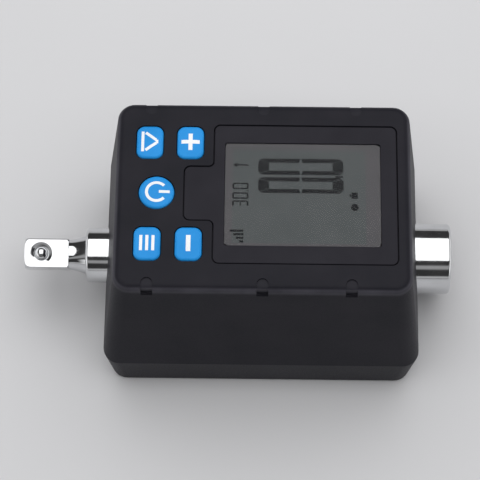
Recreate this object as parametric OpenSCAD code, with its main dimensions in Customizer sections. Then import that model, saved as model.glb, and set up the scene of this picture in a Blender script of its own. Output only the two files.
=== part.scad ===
// Digital torque adapter: a square-drive torque shaft carried in a flared two-part housing,
// with a display, five keys and two cells. Millimetres.
// X runs along the shaft, +X towards the socket. Z points up and is 0 on the flat underside.

/* [Housing] */
// Length of the face beyond the panel
face_end = 3.1; // [2.6:0.1:6]
// Width of the face on each side of the panel
face_side = 5.75; // [5.6:0.05:8]
// Length of the face beyond the outer keys
key_end = 4.2; // [3.8:0.1:7]
// Width of the face beyond each row of keys
key_side = 6.1; // [5.8:0.1:9]
// Length of the face beyond each end of the battery bay
bay_end = 6.75; // [6.7:0.05:10]
// How far each end flares out from the face to the parting line
end_flare = 3.25; // [2.8:0.05:5]
// How far each side flares out from the face to the parting line
side_flare = 3.9; // [3.4:0.1:5]
// How far the underside is drawn in from the parting line, all round
base_draw = 1.15; // [0.8:0.05:1.4]
// Thickness of the housing below the larger bush
bush_floor = 3.3; // [3:0.1:8]
// Height of the cell tray's floor above the parting line
tray_rise = 2.9; // [2.8:0.1:6]
// Radius of the housing's upright corners
corner_radius = 3.6; // [3:0.1:5]
// Rounding of the edge round the face
face_fillet = 1.8; // [0.8:0.1:2.6]
// Rounding of the edge round the underside
base_fillet = 1.5; // [0.6:0.1:2.4]
// Thickness of the side walls
wall = 2; // [1.8:0.1:2.2]
// Thickness of the roof that carries the panel
roof = 2.6; // [2.4:0.1:2.8]
// Thickness of the floor
floor_thickness = 2; // [1.6:0.1:2.6]
// Height of the lip that locates the two halves
lip_height = 0.8; // [0.4:0.1:0.9]
// Width of each small notch in the long edges of the face
notch_width = 2.4; // [1.4:0.1:3.6]
// How far each notch runs in from the edge
notch_reach = 2.8; // [1.6:0.1:3.4]
// How far each notch runs down the side
notch_drop = 2.6; // [1:0.1:2.8]
// Depth of each notch
notch_depth = 0.35; // [0.2:0.05:0.6]

/* [Shaft] */
// Side of the square drive, nominal quarter inch
drive_side = 6.35; // [6.2:0.05:6.4]
// Length of the square drive
drive_length = 9.6; // [8.6:0.1:12]
// How far the drive is turned about the shaft, its ball towards the keys' near side, in degrees
drive_roll = 18; // [0:1:45]
// Largest diameter of the flared neck behind the square drive
neck_diameter = 8.2; // [7:0.1:9]
// Length of the neck
neck_length = 3.8; // [2:0.1:6]
// Diameter of the collar on the drive side
male_collar = 12; // [11.2:0.1:13]
// How far the drive side collar stands out of the housing
male_reach = 4.45; // [2:0.05:8]
// Diameter of the collar that holds the socket
female_collar = 15.4; // [14.8:0.1:16]
// How far the socket collar stands out of the housing
female_reach = 7.05; // [5:0.05:12]
// Side of the square socket
socket_side = 6.5; // [6.4:0.05:6.8]
// Depth of the square socket
socket_depth = 10; // [8:0.1:13]
// Side of the square section that carries the strain gauges
gauge_side = 8.4; // [7:0.1:8.6]
// Side of the square section that the anchor block grips
anchor_side = 10.6; // [9:0.1:10.8]
// Diameter of the detent ball
ball_diameter = 3; // [2.6:0.1:3.2]
// How far the ball stands out of the drive
ball_rise = 0.7; // [0.3:0.05:1]
// Distance from the ball to the drive's tip
ball_setback = 3.6; // [3:0.1:4.6]

/* [Display] */
// Distance of the panel and keys from the housing's middle, across the shaft
face_offset = 0.4; // [0:0.1:0.6]
// Gap between the inner keys and the panel
key_panel_gap = 2.25; // [1.8:0.05:4]
// Border of the panel at each end of the window
panel_end_border = 2.75; // [2.6:0.05:4]
// Border of the panel at each side of the window
panel_side_border = 3.95; // [3.8:0.05:6]
// How far the tab reaches towards the keys
tab_reach = 6.1; // [4:0.1:6.6]
// Width of the tab
tab_width = 12.1; // [8:0.1:13]
// Corner radius of the panel and of its tab
panel_corner = 1.2; // [0.6:0.1:2]
// Thickness of the panel
panel_thickness = 1.4; // [1.2:0.1:1.6]
// How far the panel's surface lies below the face
panel_drop = 0.1; // [0:0.05:0.3]
// Length of the window
window_length = 32.3; // [30:0.1:38]
// Width of the window
window_width = 23.4; // [20:0.1:28]
// Distance of the window's middle from the panel's middle
window_shift = -0.55; // [-0.7:0.05:-0.4]
// Thickness of the clear lens
lens_thickness = 0.8; // [0.6:0.1:1]
// Thickness of the display glass
glass_thickness = 1.6; // [1.4:0.1:1.8]
// Thickness of the light guide behind the glass
guide_thickness = 2.8; // [2.6:0.1:3.2]

/* [Keys] */
// Length of a rectangular key, along the shaft
key_length = 5.6; // [4.8:0.1:6]
// Width of a rectangular key, across the shaft
key_width = 7.5; // [6:0.1:8]
// Corner radius of a rectangular key
key_corner = 1.7; // [1:0.1:2.2]
// Diameter of the round key
round_key_diameter = 7.4; // [6:0.1:7.8]
// How far the keys stand above the face
key_rise = 0.5; // [0.4:0.05:1]
// How far a key travels when it is pressed
key_travel = 0.4; // [0.2:0.05:0.4]
// Clearance round a key in its hole
key_gap = 0.15; // [0.1:0.05:0.3]
// Distance of the inner keys from the housing's middle
inner_keys = 15.25; // [15:0.05:18]
// Distance between the inner and the outer keys
key_pitch = 8.45; // [7.4:0.05:10]
// How far the round key sits in from the outer keys
round_key_shift = 1.65; // [0.8:0.05:2.2]
// Distance of each row of keys from the round key's line
key_row = 11.55; // [10.8:0.05:14]

/* [Board] */
// Thickness of the circuit board
board_thickness = 1.2; // [1:0.1:1.4]
// Clearance between the board and the side walls
board_clearance = 0.5; // [0.3:0.1:1]
// Side of a switch body
switch_side = 4.5; // [3.6:0.1:4.8]
// Height of a switch body
switch_height = 1.6; // [1.4:0.1:1.7]
// Diameter of a switch plunger
plunger_diameter = 1.8; // [1.4:0.1:2.4]

/* [Cells] */
// Diameter of a cell
cell_diameter = 10.5; // [10:0.1:10.6]
// Length of a cell with its terminal
cell_length = 44.5; // [42:0.1:44.6]
// Length of a contact spring with the cell in
spring_length = 2.7; // [2:0.1:2.8]
// Thickness of the tray's walls
tray_wall = 1.2; // [0.8:0.1:1.2]
// Thickness of the battery door
door_thickness = 1.2; // [0.9:0.1:1.3]
// Clearance round the battery door
door_gap = 0.15; // [0.1:0.05:0.25]
// Width of the ledge that the battery door closes on
door_ledge = 1.2; // [0.8:0.1:1.2]

/* [Screws] */
// Diameter of the housing and anchor screws
screw_diameter = 2.5; // [2:0.1:2.6]
// Diameter of their heads
head_diameter = 4.4; // [3.8:0.1:4.6]
// Height of their heads
head_height = 1.3; // [0.9:0.1:1.4]
// Diameter of the board and door screws
small_screw = 1.7; // [1.4:0.1:1.8]
// Diameter of their heads
small_head = 3.2; // [2.6:0.1:3.4]
// Height of their heads
small_head_height = 0.7; // [0.5:0.05:0.7]

/* [Hidden] */

$fn = 48;
hull_facets = 32;
fillet_steps = 6;
tube_sides = 6;

housing_colour = "#2b2a2f";
panel_colour = "#38373c";
key_colour = "#2f86d8";
chrome_colour = "#d9dbdd";
steel_colour = "#a9acb0";
brass_colour = "#c9a24a";
board_colour = "#1f6b3a";
chip_colour = "#1c1c1e";
rubber_colour = "#161616";
plastic_colour = "#e8e6df";

// Small lengths shared by many pieces
overrun = 0.6;
skin = 0.01;
running_fit = 0.04;
seat_gap = 0.05;
soft_gap = 0.1;
thread_fit = 0.03;
square_diagonal_share = sqrt(2);
socket_diagonal = socket_side * square_diagonal_share;
bush_wall = 2;

// The battery bay behind the far wall
cell_gap = 0.2;
board_over_cells = 0.3;
cell_door_gap = 2.35;
contact_thickness = 0.3;
tray_clear = 0.1;
clip_width = 0.8;
bay_length = cell_length + spring_length + 2 * contact_thickness + 2 * seat_gap;
cell_level = tray_rise + tray_clear + cell_diameter + cell_gap + cell_diameter / 2;

// Height of the shaft's axis above the underside, and of the face above the axis
axis_height = female_collar / 2 + bush_wall + bush_floor;
stack_height = board_thickness + guide_thickness + glass_thickness + soft_gap + panel_thickness + panel_drop;
face_rise = cell_level + cell_diameter / 2 + board_over_cells + stack_height;

// Places of the keys and the panel along the shaft
panel_length = window_length + 2 * panel_end_border;
panel_width = window_width + 2 * panel_side_border;
outer_keys = inner_keys + key_pitch;
round_key_place = outer_keys - round_key_shift;
panel_left = key_length / 2 + key_panel_gap - inner_keys;
panel_centre = panel_left + panel_length / 2;

// The face is as long and as wide as the panel, the keys or the cells need, whichever needs most
face_length = max(2 * (panel_left + panel_length + face_end), 2 * (outer_keys + key_length / 2 + key_end),
    bay_length + 2 * bay_end);
cells_depth = female_collar / 2 + clip_width + seat_gap + tray_wall + cell_gap + cell_diameter + cell_door_gap;
far_slope = side_flare / (face_rise - face_fillet);
face_width = max(panel_width + 2 * face_side, 2 * (key_row + key_width / 2 + key_side),
    2 * (cells_depth + far_slope * cell_level - side_flare));
housing_length = face_length + 2 * end_flare;
housing_width = face_width + 2 * side_flare;
base_length = housing_length - 2 * base_draw;
base_width = housing_width - 2 * base_draw;

// Levels of the face, its panel and what hangs below it
face_height = axis_height + face_rise;
roof_underside = face_height - roof;
panel_seat = face_height - panel_drop - panel_thickness;
glass_top = panel_seat - soft_gap;
glass_bottom = glass_top - glass_thickness;
board_top = glass_bottom - guide_thickness;
board_bottom = board_top - board_thickness;

// Place of one of several things in a row, in pitches from the row's middle
function centred(index, count) = index - (count - 1) / 2;

// Taper of the two halves away from the parting line: a half's length or width at a distance from it
function tapered(low, high, distance, straight) = low - (low - high) * distance / straight;
upper_straight = face_rise - face_fillet;
lower_straight = axis_height - base_fillet;
cavity_fillet = 0.8;
cavity_radius = max(corner_radius - wall, cavity_fillet);
far_draft = atan(far_slope);
lip_gap = 0.08;
lip_step = 0.1;
rebate_height = lip_height + lip_gap;

// Bosses for the housing screws, set in from the corners of the face
boss_inset = 3.1;
upper_boss_radius = 2.3;
lower_boss_radius = 3.4;
head_recess_depth = 6;
head_recess_gap = 0.2;
screw_length = 14;
insert_diameter = 3.6;
insert_length = 5;
screw_relief_depth = 4;
boss_x = face_length / 2 - boss_inset;
boss_y = face_width / 2 - boss_inset;

// Bushes, seals and clips that carry the shaft
bush_length = 5;
saddle_wall = 1.9;
seal_section = 1.4;
clip_thickness = 0.8;
clip_groove_depth = 0.6;
saddle_cover = 0.4;
saddle_height = female_collar / 2 + bush_wall + saddle_wall;
saddle_outside = min(tapered(housing_length, face_length, saddle_height, upper_straight),
    tapered(housing_length, base_length, saddle_height, lower_straight)) / 2 - saddle_cover;
bush_outside = saddle_outside - seal_section - seat_gap;
bush_inside = bush_outside - bush_length;
clip_inside = bush_inside - seat_gap - clip_thickness;

// Stations along the shaft
male_collar_end = -housing_length / 2 - male_reach;
neck_end = male_collar_end - neck_length;
drive_tip = neck_end - drive_length;
female_end = housing_length / 2 + female_reach;
journal_run = 1.6;
male_journal_end = -(clip_inside - journal_run);
female_journal_start = clip_inside - journal_run;
shoulder_run = 1.8;
gauge_start = male_journal_end + shoulder_run;
anchor_length = 8;
anchor_margin = 1.5;
anchor_section_start = female_journal_start - anchor_length - 2 * anchor_margin;
gauge_end = anchor_section_start - shoulder_run;
anchor_place = female_journal_start - anchor_margin - anchor_length / 2;
collar_chamfer = 0.7;
socket_chamfer = 0.6;
tip_chamfer = 0.8;
drive_corner_diameter = 8.7;
drill_point = 1.6;

// Detent in the square drive
ball_bore = ball_diameter + 2 * seat_gap;
ball_bore_depth = 4.6;
ball_place = drive_tip + ball_setback;
ball_height = axis_height + drive_side / 2 + ball_rise - ball_diameter / 2;
bore_floor = axis_height + drive_side / 2 - ball_bore_depth;
dimple_diameter = 4.2;
dimple_depth = 0.5;
detent_wire = 0.3;
detent_coil = 1.9;
detent_turns = 4;
detent_clear = 0.02;
recess_diameter = 3.2;
recess_depth = 0.7;

// Gauges and their lead
gauge_length = 6;
gauge_width = 4.5;
gauge_film = 0.15;
gauge_place = (gauge_start + gauge_end) / 2 - gauge_length;
terminal_length = 7;
terminal_height = 5;
terminal_thickness = 0.6;
terminal_place = (gauge_start + gauge_end) / 2 + gauge_length / 2;
lead_diameter = 0.8;
lead_count = 4;
lead_pitch = 1.3;
lead_run = 3;
lead_bend = 4;
bend_steps = 8;

// Anchor block between the shaft and the floor
anchor_width = 21;
anchor_rise = 1.4;
anchor_pad = 1.5;
anchor_screw_spread = 15.4;
anchor_screw_length = 9;
anchor_recess_depth = 1.8;

// Display parts
panel_gap = 0.25;
lens_rim = 0.9;
lens_gap = 0.1;
window_corner = 0.5;
glass_rim_left = 1;
glass_rim_right = 2.1;
glass_rim_side = 2.1;
glass_gap = 0.15;
frame_wall = 1;
strip_width = 1.3;
strip_margin = 1.2;
rear_glass_setback = 1.9;
lamp_length = 0.8;
lamp_width = 3;
lamp_height = 1.2;
guide_margin = 0.3;
window_x = panel_centre + window_shift;
glass_left = window_x - window_length / 2 - glass_rim_left;
glass_right = window_x + window_length / 2 + glass_rim_right;
glass_x = (glass_left + glass_right) / 2;
glass_length = glass_right - glass_left;
glass_width = window_width + 2 * glass_rim_side;
guide_length = glass_length - rear_glass_setback - lamp_length - 2 * guide_margin;
guide_x = glass_left + lamp_length + guide_margin + guide_length / 2;

// Keys and switches
key_flange = 0.6;
key_flange_thickness = 0.8;
key_edge = 0.7;
key_flange_top = roof_underside - seat_gap;
key_flange_bottom = key_flange_top - key_flange_thickness;
plunger_reach = 0.5;
plunger_spare = 0.3;
switch_hole_depth = plunger_reach + key_travel + plunger_spare;
switch_top = board_top + switch_height;
key_columns = [-outer_keys, -inner_keys, -outer_keys, -inner_keys];
key_rows = [face_offset + key_row, face_offset + key_row, face_offset - key_row, face_offset - key_row];

// Board, its posts and its parts
board_corner = 1;
board_length = 2 * (housing_length / 2 - wall - board_clearance)
    - (housing_length - face_length) * (board_bottom - axis_height) / upper_straight;
board_width = 2 * (housing_width / 2 - wall - board_clearance)
    - (housing_width - face_width) * (board_bottom - axis_height) / upper_straight;
post_radius = 1.5;
post_inset = 2.2;
post_y = -(board_width / 2 - post_inset);
post_hole_depth = 4.6;
post_boss_gap = 0.5;
post_columns = [glass_left - post_radius / 2,
    boss_x - upper_boss_radius - post_radius - post_boss_gap];
boss_notch_gap = 0.3;
processor_side = 10;
processor_height = 1.4;
processor_place = [-12, -8];
amplifier_size = [6.5, 5, 1.5];
amplifier_place = [3, -4];
crystal_size = [5, 3.2, 1.1];
crystal_place = [-20, -10];
buzzer_diameter = 9;
buzzer_height = 3.2;
buzzer_hole = 2;
buzzer_place = [17, -9];
part_size = [1.6, 0.8, 0.6];
part_pitch = 2.6;
part_rows = 3;
part_columns = 5;
part_place = [-5.5, -15.4];
socket_size = [7.4, 4.6, 3.8];
socket_wall = 0.6;
plug_reach = 3;
plug_height = 5.2;
plug_gap = 0.05;
plug_place = -gauge_side / 2 - terminal_thickness - lead_run - lead_bend;

// Cells, tray and battery door
cell_nub = 0.8;
cell_nub_diameter = 3.8;
cell_edge = 0.5;
contact_width = 7;
contact_height = 8;
contact_tail = 2;
upper_cell_height = axis_height + cell_level;
lower_cell_height = upper_cell_height - cell_diameter - cell_gap;
cells_y = housing_width / 2 - far_slope * (upper_cell_height - axis_height)
    - cell_door_gap - cell_diameter / 2;
cell_stop = bay_length / 2 - contact_thickness - seat_gap;
tray_floor_top = axis_height + tray_rise;
tray_back = cells_y - cell_diameter / 2 - cell_gap;
tray_front = boss_y + upper_boss_radius / 2;
tray_rest_width = 3;
tray_rest_inset = 4;
coil_wire = 0.5;
coil_turns = 2.5;
coil_wide = 2.8;
coil_narrow = 1.5;
rings_per_turn = 8;
door_length = bay_length + 2 * door_ledge;
door_low = tray_floor_top - axis_height - door_ledge;
door_top_ledge = 3.9;
door_high = board_bottom - axis_height + door_top_ledge;
door_height = door_high - door_low;
door_corner = 1.6;
door_rim = 0.9;
door_rim_height = 0.6;
door_rim_gap = 0.2;
door_screw_drop = 2.3;
door_screw_rise = axis_height + door_high - door_screw_drop;
door_boss_radius = 1.9;
door_boss_length = 3.6;
door_screw_length = 3.4;
door_head_seat = 0.45;
grip_count = 4;
grip_pitch = 2.2;
grip_width = 0.9;
grip_depth = 0.35;
grip_length_share = 0.3;
grip_height_share = 0.2;
// Places of the notches along the face's near and far edges, as shares of its length
near_notch_shares = [-0.384, 0, 0.296];
far_notch_shares = [-0.384, 0, 0.314];

// Distance of the far wall's outer surface from the shaft at a level
function far_wall_at(level) = housing_width / 2 - far_slope * (level - axis_height);

// Move along the shaft's axis and turn +Z onto +X
module along_shaft(place) {
    translate([place, 0, axis_height]) rotate([0, 90, 0]) children();
}

// Copy to the four corners of a rectangle
module at_corners(half_length, half_width) {
    for (side_x = [-1, 1], side_y = [-1, 1])
        translate([side_x * half_length, side_y * half_width, 0]) children();
}

// Flat rectangle with round corners
module rounded_rect(length, width, radius) {
    square([length - 2 * radius, width], center = true);
    square([length, width - 2 * radius], center = true);
    for (side_x = [-1, 1], side_y = [-1, 1])
        translate([side_x * (length / 2 - radius), side_y * (width / 2 - radius)]) circle(radius);
}

// Upright post whose top edge is rounded, standing below its own origin
module rounded_post(radius, fillet) {
    arc = [for (step = [0 : fillet_steps]) let (turn = 90 * step / fillet_steps)
        [radius - fillet + fillet * cos(turn), fillet * sin(turn) - fillet]];
    rotate_extrude($fn = hull_facets) polygon(concat([[0, 0], [0, -fillet]], arc));
}

// Drafted block on the parting plane: one rectangle there, a smaller one at the top, with a rounded edge
module drafted_block(low, high, height, radius, fillet) {
    hull() {
        at_corners(low.x / 2 - radius, low.y / 2 - radius)
            cylinder(h = skin, r = radius, $fn = hull_facets);
        translate([0, 0, height]) at_corners(high.x / 2 - radius, high.y / 2 - radius)
            rounded_post(radius, min(fillet, radius));
    }
}

// The space inside a half, open at the parting plane
module drafted_cavity(high, height, straight, cover) {
    reach = height - cover - cavity_fillet;
    low_size = [tapered(housing_length, high.x, -overrun, straight) - 2 * wall,
        tapered(housing_width, high.y, -overrun, straight) - 2 * wall];
    high_size = [tapered(housing_length, high.x, reach, straight) - 2 * wall,
        tapered(housing_width, high.y, reach, straight) - 2 * wall];
    translate([0, 0, -overrun])
        drafted_block(low_size, high_size, height - cover + overrun, cavity_radius, cavity_fillet);
}

// Tube of a given radius swept along a list of points; the reference is never in line with the path
module swept_tube(path, radius, reference) {
    last = len(path) - 1;
    points = [for (index = [0 : last]) let (
        along = path[min(index + 1, last)] - path[max(index - 1, 0)],
        side = cross(reference, along) / norm(cross(reference, along)),
        up = cross(along, side) / norm(cross(along, side)))
        for (corner = [0 : tube_sides - 1]) let (turn = 360 * corner / tube_sides)
            path[index] + radius * (cos(turn) * side + sin(turn) * up)];
    sides = [for (index = [0 : last - 1], corner = [0 : tube_sides - 1]) let (
        next = (corner + 1) % tube_sides, ring = index * tube_sides, above = ring + tube_sides)
        each [[ring + corner, ring + next, above + next], [ring + corner, above + next, above + corner]]];
    start_cap = [for (corner = [1 : tube_sides - 2]) [0, corner + 1, corner]];
    end_cap = [for (corner = [1 : tube_sides - 2])
        [last * tube_sides, last * tube_sides + corner, last * tube_sides + corner + 1]];
    polyhedron(points = points, faces = concat(sides, start_cap, end_cap));
}

// Points of a coil that climbs along Z and may narrow as it climbs
function coil_path(wide, narrow, height, turns) = [for (step = [0 : turns * rings_per_turn]) let (
    share = step / (turns * rings_per_turn), turn = 360 * step / rings_per_turn,
    radius = wide + (narrow - wide) * share)
    [radius * cos(turn), radius * sin(turn), height * share]];

// Screw with a round head above its origin and a shank below it, with a cross recess in the head
module pan_screw(diameter, length, head, height) {
    slot_width = head / 6;
    slot_length = head / 1.8;
    slot_depth = height / 2;
    difference() {
        union() {
            cylinder(h = height, d = head);
            translate([0, 0, -length]) cylinder(h = length + height / 2, d = diameter);
        }
        translate([0, 0, height - slot_depth]) {
            translate([-slot_length / 2, -slot_width / 2, 0]) cube([slot_length, slot_width, height]);
            translate([-slot_width / 2, -slot_length / 2, 0]) cube([slot_width, slot_length, height]);
        }
    }
}

// Outline of the panel with its tab, grown all round by a clearance
module panel_outline(grow) {
    root_radius = panel_corner - grow;
    translate([panel_centre, face_offset])
        rounded_rect(panel_length + 2 * grow, panel_width + 2 * grow, panel_corner + grow);
    tab_end = panel_centre - panel_length / 2 - tab_reach;
    tab_overlap = 2 * panel_corner;
    translate([tab_end - grow + (tab_reach + tab_overlap) / 2, face_offset])
        rounded_rect(tab_reach + tab_overlap, tab_width + 2 * grow, panel_corner + grow);
    for (side = [-1, 1])
        translate([panel_centre - panel_length / 2 - grow, face_offset + side * (tab_width / 2 + grow)])
            scale([1, side]) tab_root(root_radius);
}

// Hollow corner where the tab meets the panel
module tab_root(radius) {
    difference() {
        translate([-radius, -skin]) square([radius + skin, radius + skin]);
        translate([-radius, radius]) circle(radius);
    }
}

// Rectangular key hole or key outline
module key_outline(grow) {
    rounded_rect(key_length + 2 * grow, key_width + 2 * grow, key_corner + grow);
}

// Copy to the four rectangular keys
module at_keys() {
    for (index = [0 : len(key_columns) - 1]) translate([key_columns[index], key_rows[index], 0]) children();
}

// Copy to the round key
module at_round_key() {
    translate([-round_key_place, face_offset, 0]) children();
}

// Wedge between two planes parallel to the far wall, at two depths below its surface
module far_slab(outer, inner) {
    translate([0, housing_width / 2, axis_height]) rotate([far_draft, 0, 0])
        translate([-housing_length / 2, -inner, -axis_height])
            cube([housing_length, inner - outer, face_rise + 2 * axis_height]);
}

// Upright outline of the battery door, run straight through the far wall
module door_prism(grow) {
    translate([0, housing_width / 2 + overrun, axis_height + (door_low + door_high) / 2])
        rotate([90, 0, 0]) linear_extrude(housing_width / 4)
            rounded_rect(door_length + 2 * grow, door_height + 2 * grow, door_corner + grow);
}

// Opening behind the door that the cells pass through
module bay_opening(grow) {
    opening_top = board_bottom - axis_height + seat_gap;
    opening_low = door_low + door_ledge;
    translate([0, housing_width / 2 + overrun, axis_height + (opening_top + opening_low) / 2])
        rotate([90, 0, 0]) linear_extrude(housing_width / 4)
            square([bay_length + 2 * grow, opening_top - opening_low + 2 * grow], center = true);
}

// One shallow notch over the long edge of the face, on the +Y side
module edge_notch() {
    reach_y = face_width / 2 - notch_reach;
    translate([0, reach_y + notch_width / 2, face_height - notch_depth]) {
        cylinder(h = notch_depth + overrun, d = notch_width);
        translate([-notch_width / 2, 0, 0]) cube([notch_width, notch_reach, notch_depth + overrun]);
    }
    translate([-notch_width / 2, far_wall_at(face_height) - notch_depth, face_height - notch_drop])
        cube([notch_width, notch_reach, notch_drop + overrun]);
}

// Blocks that hold the bushes, in the upper half when up is 1 and in the lower half when it is -1
module saddles(up) {
    for (end = [[-1, male_collar], [1, female_collar]]) let (
        bush_radius = end[1] / 2 + bush_wall, height = bush_radius + saddle_wall,
        depth = up > 0 ? height : axis_height - floor_thickness / 2)
        translate([end[0] > 0 ? bush_inside : -saddle_outside, -height, axis_height - (up > 0 ? 0 : depth)])
            cube([saddle_outside - bush_inside, 2 * height, depth]);
}

// Holes for the collars, the bushes and the seals, through both halves
module shaft_bores() {
    for (end = [[-1, male_collar], [1, female_collar]]) let (
        side = end[0], collar = end[1], seal_pocket = collar + 2 * seal_section + 2 * seat_gap) {
        along_shaft(side > 0 ? bush_inside - overrun : -bush_outside)
            cylinder(h = bush_length + overrun, d = collar + 2 * bush_wall + 2 * running_fit);
        along_shaft(side > 0 ? bush_outside - overrun : -saddle_outside)
            cylinder(h = seal_section + seat_gap + overrun, d = seal_pocket);
        along_shaft(side > 0 ? saddle_outside - overrun : -housing_length / 2 - overrun)
            cylinder(h = 2 * wall + 2 * overrun, d = collar + 2 * soft_gap);
    }
}

module upper_shell() color(housing_colour) {
    difference() {
        union() {
            difference() {
                translate([0, 0, axis_height]) drafted_block([housing_length, housing_width],
                    [face_length, face_width], face_rise, corner_radius, face_fillet);
                translate([0, 0, axis_height])
                    drafted_cavity([face_length, face_width], face_rise, upper_straight, roof);
            }
            saddles(1);
            at_corners(boss_x, boss_y) translate([0, 0, axis_height])
                cylinder(h = face_rise - roof / 2, r = upper_boss_radius);
            for (column = post_columns) translate([column, post_y, board_top])
                cylinder(h = face_height - board_top - roof / 2, r = post_radius);
            door_boss();
        }
        translate([0, 0, axis_height - overrun]) linear_extrude(rebate_height + overrun)
            rounded_rect(housing_length - wall, housing_width - wall, corner_radius - wall / 2);
        shaft_bores();
        translate([0, 0, panel_seat]) linear_extrude(roof) panel_outline(panel_gap);
        translate([glass_x, face_offset, roof_underside - overrun]) linear_extrude(roof + overrun)
            square([glass_length + 2 * glass_gap, glass_width + 2 * glass_gap], center = true);
        translate([0, 0, roof_underside - overrun]) {
            at_keys() linear_extrude(roof + 2 * overrun) key_outline(key_gap);
            at_round_key() cylinder(h = roof + 2 * overrun, d = round_key_diameter + 2 * key_gap);
        }
        intersection() {
            door_prism(door_gap);
            far_slab(-overrun, door_thickness + seat_gap);
        }
        intersection() {
            bay_opening(0);
            far_slab(0, 2 * wall);
        }
        at_corners(boss_x, boss_y) translate([0, 0, axis_height - overrun]) {
            cylinder(h = insert_length + overrun, d = insert_diameter);
            cylinder(h = insert_length + screw_relief_depth + overrun, d = screw_diameter + 2 * soft_gap);
        }
        for (column = post_columns) translate([column, post_y, board_top - overrun])
            cylinder(h = post_hole_depth + overrun, d = small_screw + 2 * thread_fit);
        translate([0, 0, door_screw_rise]) rotate([90, 0, 0]) translate([0, 0, -housing_width / 2])
            cylinder(h = wall + door_boss_length + far_wall_drop(), d = small_screw + 2 * thread_fit);
        for (share = far_notch_shares) translate([share * face_length, 0, 0]) edge_notch();
        for (share = near_notch_shares) translate([share * face_length, 0, 0]) mirror([0, 1, 0]) edge_notch();
    }
}

// How far the far wall has leaned in at the door screw
function far_wall_drop() = far_slope * (door_screw_rise - axis_height);

// Boss on the inside of the far wall that takes the door screw
module door_boss() {
    inner_face = far_wall_at(door_screw_rise) - wall;
    translate([0, inner_face + wall / 2, door_screw_rise]) rotate([90, 0, 0])
        cylinder(h = door_boss_length + wall / 2, r = door_boss_radius);
    translate([-door_boss_radius, inner_face - door_boss_length, door_screw_rise])
        cube([2 * door_boss_radius, door_boss_length + wall / 2, roof_underside + skin - door_screw_rise]);
}

module lower_shell() color(housing_colour) {
    difference() {
        union() {
            translate([0, 0, axis_height]) mirror([0, 0, 1]) difference() {
                drafted_block([housing_length, housing_width], [base_length, base_width],
                    axis_height, corner_radius, base_fillet);
                drafted_cavity([base_length, base_width], axis_height, lower_straight, floor_thickness);
            }
            saddles(-1);
            at_corners(boss_x, boss_y) translate([0, 0, floor_thickness / 2])
                cylinder(h = axis_height - floor_thickness / 2, r = lower_boss_radius);
            translate([anchor_place - anchor_length / 2, -anchor_width / 2, floor_thickness / 2])
                cube([anchor_length, anchor_width, floor_thickness / 2 + anchor_pad]);
            for (side = [-1, 1]) translate([side * (bay_length / 2 - tray_rest_inset) - tray_rest_width / 2,
                tray_back + tray_wall, floor_thickness / 2])
                cube([tray_rest_width, tray_front - tray_back - 2 * tray_wall,
                    tray_floor_top - tray_wall - floor_thickness / 2]);
            lip();
        }
        shaft_bores();
        at_corners(boss_x, boss_y) {
            translate([0, 0, -overrun])
                cylinder(h = axis_height + 2 * overrun, d = screw_diameter + 2 * soft_gap);
            translate([0, 0, -overrun])
                cylinder(h = head_recess_depth + overrun, d = head_diameter + 2 * head_recess_gap);
        }
        at_anchor_screws() {
            translate([0, 0, -overrun])
                cylinder(h = floor_thickness + anchor_pad + 2 * overrun, d = screw_diameter + 2 * soft_gap);
            translate([0, 0, -overrun])
                cylinder(h = anchor_recess_depth + overrun, d = head_diameter + 2 * head_recess_gap);
        }
    }
}

// Lip that stands on the lower half and fits inside the upper one
module lip() {
    translate([0, 0, axis_height - lip_height]) linear_extrude(2 * lip_height) difference() {
        rounded_rect(housing_length - wall - 2 * lip_gap, housing_width - wall - 2 * lip_gap,
            corner_radius - wall / 2);
        rounded_rect(housing_length - 2 * (wall - lip_step), housing_width - 2 * (wall - lip_step),
            cavity_radius + lip_step);
    }
}

// Copy to the two anchor screws
module at_anchor_screws() {
    for (side = [-1, 1]) translate([anchor_place, side * anchor_screw_spread / 2, 0]) children();
}

module display_panel() color(panel_colour) {
    lens_length = window_length + 2 * lens_rim + 2 * lens_gap;
    lens_width = window_width + 2 * lens_rim + 2 * lens_gap;
    translate([0, 0, panel_seat]) difference() {
        linear_extrude(panel_thickness) panel_outline(0);
        translate([window_x, face_offset, -overrun]) {
            linear_extrude(panel_thickness + 2 * overrun)
                rounded_rect(window_length, window_width, window_corner);
            linear_extrude(lens_thickness + overrun) square([lens_length, lens_width], center = true);
        }
    }
}

module window_lens() color("#9aa3a6", 0.4) {
    translate([window_x, face_offset, panel_seat]) linear_extrude(lens_thickness)
        square([window_length + 2 * lens_rim, window_width + 2 * lens_rim], center = true);
}

module lcd_glass() color("#6d7470") {
    front_share = 0.5;
    front = glass_thickness * front_share;
    translate([glass_x, face_offset, glass_top - front]) linear_extrude(front)
        square([glass_length, glass_width], center = true);
    translate([glass_x - rear_glass_setback / 2, face_offset, glass_bottom])
        linear_extrude(glass_thickness - front)
            square([glass_length - rear_glass_setback, glass_width], center = true);
}

module lcd_frame() color(plastic_colour) {
    inner_length = glass_length + 2 * glass_gap;
    inner_width = glass_width + 2 * glass_gap;
    translate([glass_x, face_offset, board_top]) linear_extrude(roof_underside - board_top) difference() {
        square([inner_length + 2 * frame_wall, inner_width + 2 * frame_wall], center = true);
        square([inner_length, inner_width], center = true);
    }
}

module backlight_guide() color("#f2f2ee") {
    translate([guide_x, face_offset, board_top]) linear_extrude(guide_thickness)
        square([guide_length, glass_width], center = true);
}

module backlight_lamps() color("#ffffff") {
    for (side = [-1, 1]) translate([glass_left, face_offset + side * glass_width / 4, board_top])
        translate([0, -lamp_width / 2, 0]) cube([lamp_length, lamp_width, lamp_height]);
}

module contact_strip() color(rubber_colour) {
    strip_length = glass_width - 2 * strip_margin;
    translate([glass_right - strip_width, face_offset - strip_length / 2, board_top])
        cube([strip_width, strip_length, glass_top - glass_thickness / 2 - board_top]);
}

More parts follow.
